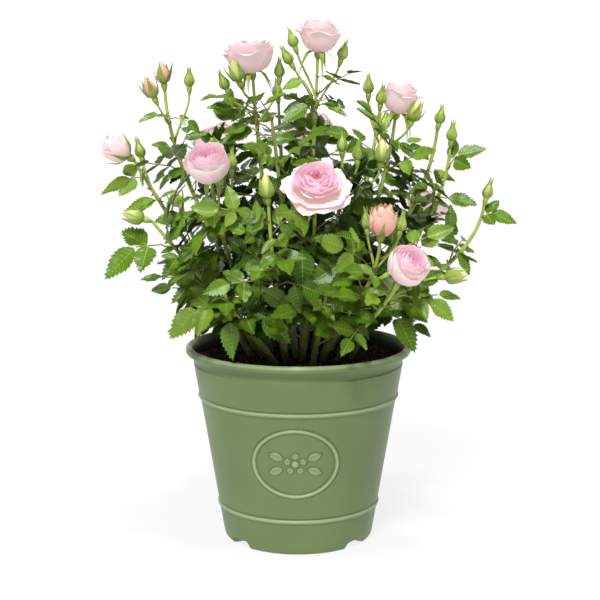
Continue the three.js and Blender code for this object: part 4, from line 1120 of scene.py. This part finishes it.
def vein_strip(points, widths, across, top):
    """A thin strip on the leaf's upper side, through points, as wide as widths."""
    points = np.asarray(points) + top * VEIN["lift"]
    left = points - across * np.asarray(widths)[:, None]
    right = points + across * np.asarray(widths)[:, None]
    count = len(points)
    faces = [(i, count + i, count + i + 1, i + 1) for i in range(count - 1)]
    return np.concatenate([left, right]), faces


def lay_veins(heap, laid, one):
    midrib = laid[:LAST]
    heap.add(*vein_strip(midrib, np.linspace(*VEIN["midrib"], LAST), one["across"], one["top"]))
    for side in (0, 1):
        start = LAST + 1 + side * (3 * LAST - 2)
        half, edge = laid[start : start + LAST - 1], laid[start + LAST - 1 : start + 2 * LAST - 1]
        for i in range(1, LAST - 1):
            run = [midrib[i], mix(half[i - 1], half[i], VEIN["turns"]), mix(half[i], edge[i + 1], VEIN["ends"])]
            heap.add(*vein_strip(run, VEIN["side"], one["along"] * (1 if side else -1), one["top"]))

# %% [markdown]
# ### Tones of the leaves
#
# Leaves of one bush differ: old ones are deep green, younger ones near the tips are brighter and yellower. Each leaf
# gets one of a few plain greens, by its height on the stem and its own draw, so a spray has one colour. Leaves deep
# inside the crown get a darker green still: painted shade for the little light that reaches them.

# %% Lay all leaves by tone
GREENS = {
    # the shaded green is painted shade for leaves deep inside the crown
    "shaded": ((44, 68, 6), (27, 46, 2)),
    "deep": ((72, 106, 14), (50, 80, 6)),
    "mid": ((94, 128, 22), (70, 102, 12)),
    "fresh": ((120, 150, 44), (94, 124, 26)),
    "young": ((158, 182, 84), (128, 154, 54)),
}
LEAF_GLOSS = {"shaded": 0.15, "deep": 0.3, "mid": 0.42, "fresh": 0.42, "young": 0.4}
AGES = (("deep", 0.62), ("mid", 0.98), ("fresh", 1.24), ("young", math.inf))
SHADED = {"inside": 0.66, "spread": 0.25, "below": 375}  # shares of the crown's radius, and the height where it ends
TURNED = {"front": 0.6, "outward": 0.4, "by": 0.6, "behind": 40}  # how leaflets turn their faces to the light
PLANNED_SIZE = 0.76  # the solids' leaves are larger than life, where they are not placed at the crown's edge
NEW_SIZE = 0.55  # of leaflets where the solids left one out
VEINED = 16  # leaflets longer than this show their veins


def tone_of_leaf(leaf, draw):
    age = leaf["height"] * 0.75 + draw() * 0.6
    # leaves deep inside the crown and below a height get the shaded green as painted shade
    from_axis = math.hypot(*leaf["end"][:2]) / crown_at(leaf["end"][2])[0] + draw() * SHADED["spread"]
    if from_axis < SHADED["inside"] and leaf["end"][2] < SHADED["below"]:
        return "shaded"
    return next(tone for tone, limit in AGES if age < limit)


def turned_to_light(one):
    """The leaflet rolled about its midrib, outwards and in the front half also to the front."""
    outward = unit(vec(one["base"][0], one["base"][1], 0)) * TURNED["outward"]
    front = vec(0, -TURNED["front"] if one["base"][1] < TURNED["behind"] else 0, 0)
    face = one["top"] + (outward + front) * TURNED["by"]
    top = unit(face - one["along"] * np.dot(face, one["along"]))
    return {**one, "top": top, "across": np.cross(one["along"], top)}


def stalk_of(leaf):
    """The points and radii of a leaf's stalk: it sags a little up to its knee and is straight from there."""
    at, knee, end = leaf["at"], leaf["knee"], leaf["end"]
    points = [mix(at, knee, t) - leaf["face"] * math.sin(t * math.pi) * 1.2 for t in (0, 0.25, 0.5, 0.75)]
    points += [mix(knee, end, t) for t in (0, 0.33, 0.66, 1)]
    return points, np.linspace(1.25, 0.75, len(points)) * (0.62 * leaf["size"] + 0.22)


leaf_heaps = {tone: Heap() for tone in GREENS}
vein_heap = Heap()
for number, leaf in enumerate(leaves + small_leaves):
    draw = draws(9000 + number)
    tone = tone_of_leaf(leaf, draw)
    for one in leaf["leaflets"]:
        if not one.get("kept", True):
            one = {**one, "length": one["length"] * NEW_SIZE}
            if in_a_flower(one, 0.5):
                continue
        elif leaf.get("is_planned"):
            one = {**one, "length": one["length"] * PLANNED_SIZE}
        one = turned_to_light(one)
        laid = lay_leaflet(one, draw)
        leaf_heaps[tone].add(laid, SHAPE_FACES, SHAPE_MAP)
        if one["length"] > VEINED and tone != "shaded":
            lay_veins(vein_heap, laid, one)

leaf_finishes = {
    tone: finish("leaf_" + tone, light, dark, 30, 1.4, 0.4, 0.34, specular=LEAF_GLOSS[tone])
    for tone, (light, dark) in GREENS.items()
}
for tone, heap in leaf_heaps.items():
    dressed(piece_from(heap, "leaves_" + tone, leaf_finishes[tone]), "foliage", *foliage_nodes)
vein_finish = finish("leaf_vein", (152, 176, 84), (116, 144, 54), 20, 1, 0.1, 0.4)
dressed(piece_from(vein_heap, "leaf_veins", vein_finish), "foliage")

red_green = finish("leaf_stalk_skin", (138, 156, 66), (128, 108, 54), 18, 0.8, 0.1, 0.45)
limbs("leaf_stalks", [stalk_of(leaf) for leaf in leaves + small_leaves], red_green, 5)

# %% [markdown]
# ## Petals, sepals and buds
#
# A rose opens from the outside in. Each ring of petals lies on its own cup-shaped surface: the outer ones lean out and
# roll their rim back, the inner ones stand up and close over the heart. So a petal is a patch of a turned surface,
# rounded at its top, ruffled at its rim, and set a little askew so that it overlaps the next. Deeper pinks lie towards
# the heart, as plain tones for each ring, and towards the foot of each petal, partly the petal's own colour and partly
# painted shade between the rings. The petals glow faintly: painted light that lightens their shade, in place of the
# light that real petals let through.

# %% A petal
PETAL_ROWS, PETAL_COLUMNS = 8, 7


def grid_faces(rows, columns):
    starts = [r * columns + c for r in range(rows - 1) for c in range(columns - 1)]
    return np.array([(a, a + 1, a + columns + 1, a + columns) for a in starts])


def sides_of(axis):
    """Two directions across an axis, from which turns about it are counted."""
    side = unit(np.cross(axis, (0.0, 1.0, 0.13)))
    return side, np.cross(axis, side)


def petal(bloom, outline, spin, half_angle, draw, ruffle=0.02, lean=0.05, point=0.0):
    """Points of one petal on the surface that the outline of (radius, height) shares gives when it is turned."""
    shares = np.linspace(0, 1, PETAL_ROWS)[:, None]
    sides = np.linspace(-1, 1, PETAL_COLUMNS)[None, :]
    up_to = 1 - 0.17 * np.abs(sides) ** 3 - point * np.abs(sides) - 0.04 * np.exp(-((sides / 0.2) ** 2)) * draw()
    along = shares * up_to
    knots = np.linspace(0, 1, len(outline))
    radius = np.interp(along, knots, [r for r, _ in outline])
    height = np.interp(along, knots, [h for _, h in outline])
    breadth = np.interp(shares, [0, 0.3, 0.7, 1], [0.4, 0.8, 1, 0.86])
    angle = spin + half_angle * sides * breadth
    radius = radius * (1 + lean * sides)
    radius = radius + ruffle * shares**3 * np.sin(sides * mix(3, 6, draw()) + draw() * 6)
    height = height + ruffle * 1.2 * shares**3 * np.sin(sides * mix(2, 5, draw()) + draw() * 6)
    side, front = sides_of(bloom["axis"])
    x, y = radius * np.cos(angle) * bloom["width"], radius * np.sin(angle) * bloom["width"]
    z = height * bloom["height"]
    points = bloom["base"] + x[..., None] * side + y[..., None] * front + z[..., None] * bloom["axis"]
    return points.reshape(-1, 3)


# Rings of petals from outside in: number, half angle in degrees, tone, ruffle and outline.
RINGS = {
    "cup": [
        (4, 46, "pale", 0.035,
         [(0.05, 0.18), (0.2, 0.2), (0.37, 0.34), (0.43, 0.52), (0.48, 0.68), (0.55, 0.75), (0.58, 0.72)]),
        (5, 46, "pale", 0.026,
         [(0.05, 0.19), (0.2, 0.24), (0.37, 0.42), (0.42, 0.62), (0.44, 0.79), (0.5, 0.88), (0.53, 0.87)]),
        (5, 50, "pale", 0.022, [(0.04, 0.21), (0.19, 0.29), (0.35, 0.48), (0.39, 0.71), (0.38, 0.89), (0.41, 0.97)]),
        (6, 46, "blush", 0.020, [(0.04, 0.24), (0.17, 0.34), (0.31, 0.54), (0.34, 0.77), (0.32, 0.94), (0.33, 1.01)]),
        (6, 46, "blush", 0.020, [(0.04, 0.26), (0.14, 0.38), (0.26, 0.58), (0.28, 0.80), (0.25, 0.96), (0.24, 1.03)]),
        (6, 48, "blush", 0.020, [(0.03, 0.3), (0.1, 0.42), (0.2, 0.6), (0.22, 0.82), (0.18, 0.97), (0.17, 1.02)]),
        (6, 54, "rose", 0.018, [(0.03, 0.32), (0.08, 0.46), (0.14, 0.64), (0.15, 0.84), (0.11, 0.98)]),
        (5, 70, "rose", 0.014, [(0.02, 0.36), (0.05, 0.55), (0.08, 0.72), (0.08, 0.86), (0.05, 0.96)]),
    ],
    "full": [
        (5, 43, "pale", 0.034, [(0.05, 0.2), (0.2, 0.30), (0.35, 0.40), (0.45, 0.43), (0.51, 0.37)]),
        (4, 52, "pale", 0.032, [(0.05, 0.26), (0.2, 0.38), (0.34, 0.51), (0.42, 0.58), (0.47, 0.57)]),
        (5, 50, "pale", 0.028, [(0.05, 0.3), (0.17, 0.46), (0.28, 0.66), (0.345, 0.79), (0.37, 0.83)]),
        (5, 50, "blush", 0.024, [(0.04, 0.34), (0.15, 0.5), (0.26, 0.70), (0.31, 0.85), (0.32, 0.92)]),
        (5, 52, "blush", 0.024, [(0.03, 0.38), (0.12, 0.54), (0.21, 0.72), (0.25, 0.87), (0.24, 0.96)]),
        (6, 50, "blush", 0.022, [(0.03, 0.42), (0.09, 0.58), (0.16, 0.74), (0.18, 0.88), (0.16, 0.98)]),
        (5, 62, "rose", 0.020, [(0.02, 0.46), (0.06, 0.6), (0.11, 0.76), (0.12, 0.88), (0.09, 0.97)]),
        (4, 80, "heart", 0.010, [(0.01, 0.5), (0.02, 0.64), (0.04, 0.78), (0.04, 0.89), (0.02, 0.94)]),
    ],
    "half": [
        (4, 52, "outer", 0.034, [(0.08, 0.18), (0.3, 0.26), (0.46, 0.48), (0.47, 0.72), (0.5, 0.86)]),
        (4, 56, "outer", 0.026, [(0.06, 0.2), (0.26, 0.32), (0.4, 0.56), (0.4, 0.82), (0.36, 0.95)]),
        (4, 62, "inner", 0.022, [(0.05, 0.25), (0.2, 0.42), (0.3, 0.66), (0.28, 0.88), (0.22, 0.99)]),
        (4, 70, "inner", 0.018, [(0.04, 0.3), (0.13, 0.48), (0.19, 0.7), (0.17, 0.9), (0.12, 1.0)]),
        (3, 90, "inner", 0.012, [(0.03, 0.34), (0.07, 0.52), (0.1, 0.72), (0.07, 0.93)]),
    ],
    "opening": [
        (4, 50, "outer", 0.05, [(0.08, 0.18), (0.3, 0.26), (0.44, 0.44), (0.45, 0.62), (0.4, 0.78), (0.4, 0.88)]),
        (4, 54, "outer", 0.045, [(0.06, 0.2), (0.26, 0.32), (0.39, 0.54), (0.36, 0.78), (0.27, 0.96)]),
        (4, 60, "inner", 0.04, [(0.05, 0.25), (0.2, 0.42), (0.3, 0.66), (0.25, 0.88), (0.16, 1.0)]),
        (4, 70, "heart", 0.03, [(0.04, 0.3), (0.13, 0.48), (0.19, 0.7), (0.14, 0.88), (0.08, 0.97)]),
    ],
    "tint": [
        (3, 80, "outer", 0.010, [(0.12, 0.27), (0.34, 0.38), (0.4, 0.52), (0.27, 0.76), (0.1, 0.92), (0.03, 0.98)]),
        (2, 110, "inner", 0.010, [(0.1, 0.3), (0.3, 0.42), (0.34, 0.56), (0.2, 0.8), (0.04, 0.96)]),
    ],
}
RINGS["globe"] = [  # an opening cup, whose outer petals still hug the rest
    (4, 58, "pale", 0.022,
     [(0.05, 0.18), (0.22, 0.2), (0.39, 0.34), (0.47, 0.52), (0.49, 0.68), (0.48, 0.8), (0.46, 0.84)]),
    (4, 56, "pale", 0.022, [(0.05, 0.19), (0.2, 0.24), (0.38, 0.42), (0.44, 0.62), (0.44, 0.8), (0.41, 0.92)]),
    *RINGS["cup"][2:],
]
PEACH = {"left_tall", "right_front"}  # shoots whose buds are still peach-coloured
PETAL_TONES = {
    "pale": ((222, 205, 205), (216, 196, 197)),
    "blush": ((230, 208, 216), (226, 200, 210)),
    "rose": ((230, 194, 209), (224, 180, 199)),
    "heart": ((226, 120, 132), (216, 96, 114)),
    "peach": ((216, 186, 168), (208, 168, 148)),
    "cream": ((232, 226, 166), (206, 206, 132)),
}
# emission strengths of the petals: painted light that lightens their shaded parts
PETAL_PAINTED_GLOW = {"pale": 0.29, "blush": 0.28, "rose": 0.27, "heart": 0.2, "peach": 0.22, "cream": 0.12}
# tones at the petals' feet: partly the petals' own deeper colour, partly painted shade where one ring lies in the next
PETAL_FOOT = {"pale": (218, 182, 180), "blush": (214, 140, 168), "rose": (200, 102, 140), "heart": (186, 60, 84),
              "peach": (206, 138, 122), "cream": (168, 184, 92)}
FOOT_SHARES = (0.97, 0.45)  # how far up the petal its rim's tone ends, and where the foot's tone is reached
petal_heaps = {tone: Heap() for tone in PETAL_TONES}
PETAL_FACES = grid_faces(PETAL_ROWS, PETAL_COLUMNS)
PETAL_MAP = np.array([
    (c / (PETAL_COLUMNS - 1), r / (PETAL_ROWS - 1)) for r in range(PETAL_ROWS) for c in range(PETAL_COLUMNS)
])
POINTED = ("cup", "half", "opening")  # flowers whose outer two rings of petals end in a blunt point


def tone_of(bloom, tone):
    if tone in ("outer", "inner"):
        if bloom["shoot"] in PEACH:
            return "peach"
        if bloom["kind"] == "tint":
            return "cream" if tone == "outer" else "peach"
        return "pale" if tone == "outer" else "blush"
    return tone


for number, bloom in enumerate(blooms):
    draw = draws(4000 + number)
    for ring, (count, half_angle, tone, ruffle, outline_of_ring) in enumerate(RINGS.get(bloom["kind"], [])):
        start = draw() * 2 * math.pi
        for i in range(count):
            spin = start + 2 * math.pi * (i + 0.25 * (draw() - 0.5)) / count
            flare, stretch = mix(-0.06, 0.04, draw()), mix(-0.05, 0.04, draw())
            steps = np.linspace(0, 1, len(outline_of_ring)) ** 2
            shaped = [(r * (1 + flare * t), h * (1 + stretch * t)) for (r, h), t in zip(outline_of_ring, steps)]
            heap = petal_heaps[tone_of(bloom, tone)]
            point = 0.12 if ring < 2 and bloom["kind"] in POINTED else 0.0
            laid = petal(bloom, shaped, spin, math.radians(half_angle), draw, ruffle, point=point)
            heap.add(laid, PETAL_FACES, PETAL_MAP)

# %% Finishes of the petals
def deeper_foot(material, tone):
    """Petals are paler at the rim and deeper towards their foot: partly their own colour, partly painted shade that
    parts one ring from the next.
    """
    tree = material.node_tree
    place = node(tree, "ShaderNodeUVMap", uv_map="place").outputs["UV"]
    along = node(tree, "ShaderNodeSeparateXYZ", {"Vector": place}).outputs["Y"]
    return shifted(material, along, *FOOT_SHARES, tone)


# each petal finish glows with its painted light strength
for tone, (light, dark) in PETAL_TONES.items():
    paint = finish("petal_" + tone, light, dark, 9, 0.7, 0.12, 0.55, specular=0.3, glow=PETAL_PAINTED_GLOW[tone])
    dressed(piece_from(petal_heaps[tone], "petals_" + tone, deeper_foot(paint, PETAL_FOOT[tone])), "petal")

# %% Green parts: hips, sepals and closed buds
def turned_solid(base, axis, outline, sides):
    """A closed turned body along an axis, from (radius, height) in millimetres that starts and ends at the axis."""
    side, front = sides_of(axis)
    points, faces = [base + axis * outline[0][1]], []
    for r, h in outline[1:-1]:
        for k in range(sides):
            a = 2 * math.pi * k / sides
            points.append(base + axis * h + side * math.cos(a) * r + front * math.sin(a) * r)
    points.append(base + axis * outline[-1][1])
    rings, last = len(outline) - 2, len(points) - 1
    for k in range(sides):
        n = (k + 1) % sides
        faces.append((0, 1 + n, 1 + k, -1))
        for r in range(rings - 1):
            a, b = 1 + r * sides, 1 + (r + 1) * sides
            faces.append((a + k, a + n, b + n, b + k))
        faces.append((1 + (rings - 1) * sides + k, 1 + (rings - 1) * sides + n, last, -1))
    return np.array(points), np.array(faces)


def strip(base, axis, spin, run, widths, cup=0.25):
    """A pointed green strip, such as a sepal: run is its way as (away from the axis, along it) in millimetres."""
    side, front = sides_of(axis)
    out = side * math.cos(spin) + front * math.sin(spin)
    aside = np.cross(axis, out)
    run, widths = np.array(run, float), np.array(widths, float)
    ahead = np.gradient(run, axis=0)
    ahead /= np.linalg.norm(ahead, axis=1)[:, None] + 1e-9
    normals = np.outer(ahead[:, 1], out) - np.outer(ahead[:, 0], axis)
    middle = base + np.outer(run[:, 0], out) + np.outer(run[:, 1], axis)
    points = []
    for share in (-1, 0, 1):
        points.append(middle + np.outer(widths * share, aside) - normals * (cup * widths * abs(share))[:, None])
    points = np.stack(points, axis=1).reshape(-1, 3)
    return points, grid_faces(len(run), 3)


SEPALS = 5
OPEN_SEPAL = [2.2, 2.9, 2.4, 1.4, 0.7, 0.15]  # half widths along it, in millimetres
CLOSED_BUD = {  # for each kind its hip's radius, the width that its sepals are drawn for, and their half widths
    "green": {"hip": 0.27, "drawn": 10.5, "broad": 11, "widths": [1.6, 2.6, 3.0, 2.6, 1.7, 0.9, 0.15]},
    "tint": {"hip": 0.2, "drawn": 17, "broad": 17, "widths": [1.8, 3.2, 3.4, 2.8, 1.7, 0.8, 0.15]},
}
BUD_BODY = [(0.5, 0.27), (3.6, 0.34), (4.6, 0.43), (4.4, 0.53), (3.0, 0.64), (1.4, 0.75), (0.7, 0.86), (0, 0.95)]


def open_calyx(heap, bloom, start, draw):
    """The hip and sepals under an open flower. They stand up while it opens and fall back later."""
    base, axis, hip = bloom["base"], bloom["axis"], bloom["height"] * 0.21
    outline = [
        (0, -1.5), (1.5, -0.8), (3.0, 1.6), (4.1, hip * 0.55), (3.8, hip * 0.9), (4.6, hip * 1.05), (0, hip * 1.1)
    ]
    heap.add(*turned_solid(base, axis, outline, 9))
    for i in range(SEPALS):
        spin = start + i * 2 * math.pi / SEPALS + (draw() - 0.5) * 0.3
        if bloom["kind"] in ("half", "opening"):
            run = [(3.6, 0.9), (8, 1.15), (12.5, 1.6), (15, 2.3), (17.5, 3.0), (20, 3.4)]
            run = [(r, hip * h) for r, h in run]
        else:
            fall = mix(0.5, 1.3, draw())
            run = [(3.6, hip * 0.95), (8, hip * 1.0), (13, hip * 0.6)]
            run += [(r, -hip * h * fall) for r, h in ((17, 0.3), (20, 1.3), (22.5, 2.6))]
        heap.add(*strip(base, axis, spin, run, OPEN_SEPAL))


def closed_calyx(heap, bloom, start, draw):
    """The hip and sepals of a bud. Round a green one they are still shut, round a coloured one they part."""
    base, axis, wide, tall = bloom["base"], bloom["axis"], bloom["width"], bloom["height"]
    bud = CLOSED_BUD[bloom["kind"]]
    radius, hip = bud["hip"] * wide, tall * 0.27
    outline = [
        (0, -1.0), (1.1, -0.4), (radius * 0.8, hip * 0.45), (radius, hip * 0.8), (radius * 0.85, hip), (0, hip * 1.05)
    ]
    heap.add(*turned_solid(base, axis, outline, 8))
    if bloom["kind"] == "green":
        body = [(0, hip * 0.9), *[(r * wide / 10.5, h * tall) for r, h in BUD_BODY]]
        heap.add(*turned_solid(base, axis, body, 10))
    for i in range(SEPALS):
        if bloom["kind"] == "green":
            run = [(2.2, 0.26), (4.3, 0.34), (5.3, 0.43), (5.0, 0.54), (3.5, 0.66), (2.0, 0.78)]
            run += [(1.3 + draw() * 2, 1.0)]
        else:
            out = mix(0.0, 5.0, draw() ** 2)
            run = [(2.4, 0.26), (6.2, 0.34), (7.6, 0.45), (7.8 + out * 0.4, 0.58), (6.6 + out, 0.72)]
            run += [(5.4 + out * 1.5, 0.84), (4.2 + out * 2, 0.97)]
        run = [(r * wide / bud["drawn"], h * tall) for r, h in run]
        spin = start + i * 2 * math.pi / SEPALS
        heap.add(*strip(base, axis, spin, run, np.array(bud["widths"]) * wide / bud["broad"]))


calyx_heap = Heap()
for number, bloom in enumerate(blooms):
    draw = draws(6000 + number)
    calyx = closed_calyx if bloom["kind"] in CLOSED else open_calyx
    calyx(calyx_heap, bloom, draw() * 6.28, draw)
calyx_green = finish("calyx_green", (164, 184, 86), (116, 144, 48), 9, 0.8, 0.15, 0.45)
dressed(piece_from(calyx_heap, "calyxes", calyx_green), "foliage")

# %% Prickles on canes and stalks, bracts at the forks
PRICKLE = {"apart": 13, "highest": 0.9, "on_cane": (1.6, 3.4), "on_stalk": (1.0, 2.0)}


def prickle(at, heading, spin, radius, length):
    """A small hooked thorn: a four-sided cone that points out and a little down."""
    side = unit(np.cross(heading, (0.3, 1.0, 0.2)))
    out = about(side, heading, spin)
    aside = np.cross(heading, out)
    root = at + out * radius * 0.85
    ring = [root + heading * 1.4, root + aside * 0.5, root - heading * 1.0, root - aside * 0.5]
    points = [*ring, root + out * length - heading * length * 0.35]
    return np.array(points), np.array([(0, 1, 4, -1), (1, 2, 4, -1), (2, 3, 4, -1), (3, 0, 4, -1), (3, 2, 1, 0)])


def prickle_on(way, share, radius, lengths, draw):
    return prickle(way_point(way, share), way_heading(way, share), draw() * 6.28, radius, mix(*lengths, draw()))


prickle_heap, bract_heap = Heap(), Heap()
for s in SHOOTS:
    draw = draws(s["seed"] + 900)
    way = ways[s["name"]]
    length = length_of(way[3] - way[0])
    for i in range(int(length / PRICKLE["apart"])):
        share = (i + draw()) * PRICKLE["apart"] / length
        if share < PRICKLE["highest"]:
            prickle_heap.add(*prickle_on(way, share, cane_radius(share), PRICKLE["on_cane"], draw))
    for side in s["stalks"]:
        small_way = stalk_way(way, side)
        for _ in range(2):
            prickle_heap.add(*prickle_on(small_way, draw() * 0.5, STALK_RADIUS, PRICKLE["on_stalk"], draw))
        for _ in range(3):
            spin, long = draw() * 6.28, mix(5, 10, draw())
            run = [(0.6, 0), (long * 0.35, long * 0.35), (long * 0.6, long * 0.75), (long * 0.7, long)]
            bract_heap.add(*strip(small_way[0], way_heading(way, side["at"]), spin, run, [0.9, 1.3, 0.8, 0.1]))
thorn_red = finish("prickle_red", (150, 92, 58), (120, 60, 44), 6, 0.8, 0.1, 0.4)
dressed(piece_from(prickle_heap, "prickles", thorn_red), "cane")

# %% Stipules at the feet of the leaves
for leaf in leaves + small_leaves:
    draw = draws(int(leaf["at"][2] * 10))
    towards_knee = leaf["knee"] - leaf["at"]
    for aside in (0.6, -0.6):
        turn = aside + math.atan2(towards_knee[1], towards_knee[0])
        long = 7 * leaf["size"] * mix(0.8, 1.2, draw())
        run = [(0.8, 0), (long * 0.4, long * 0.3), (long * 0.75, long * 0.6), (long, long * 0.75)]
        out = vec(math.cos(turn), math.sin(turn), 0)
        side, front = sides_of(UP)
        spin = math.atan2(np.dot(out, front), np.dot(out, side))
        bract_heap.add(*strip(leaf["at"], UP, spin, run, [0.7, 1.1, 0.7, 0.1]))
bract_green = finish("bract_green", (150, 150, 84), (128, 104, 62), 8, 0.8, 0.1, 0.5)
dressed(piece_from(bract_heap, "bracts", bract_green), "foliage")
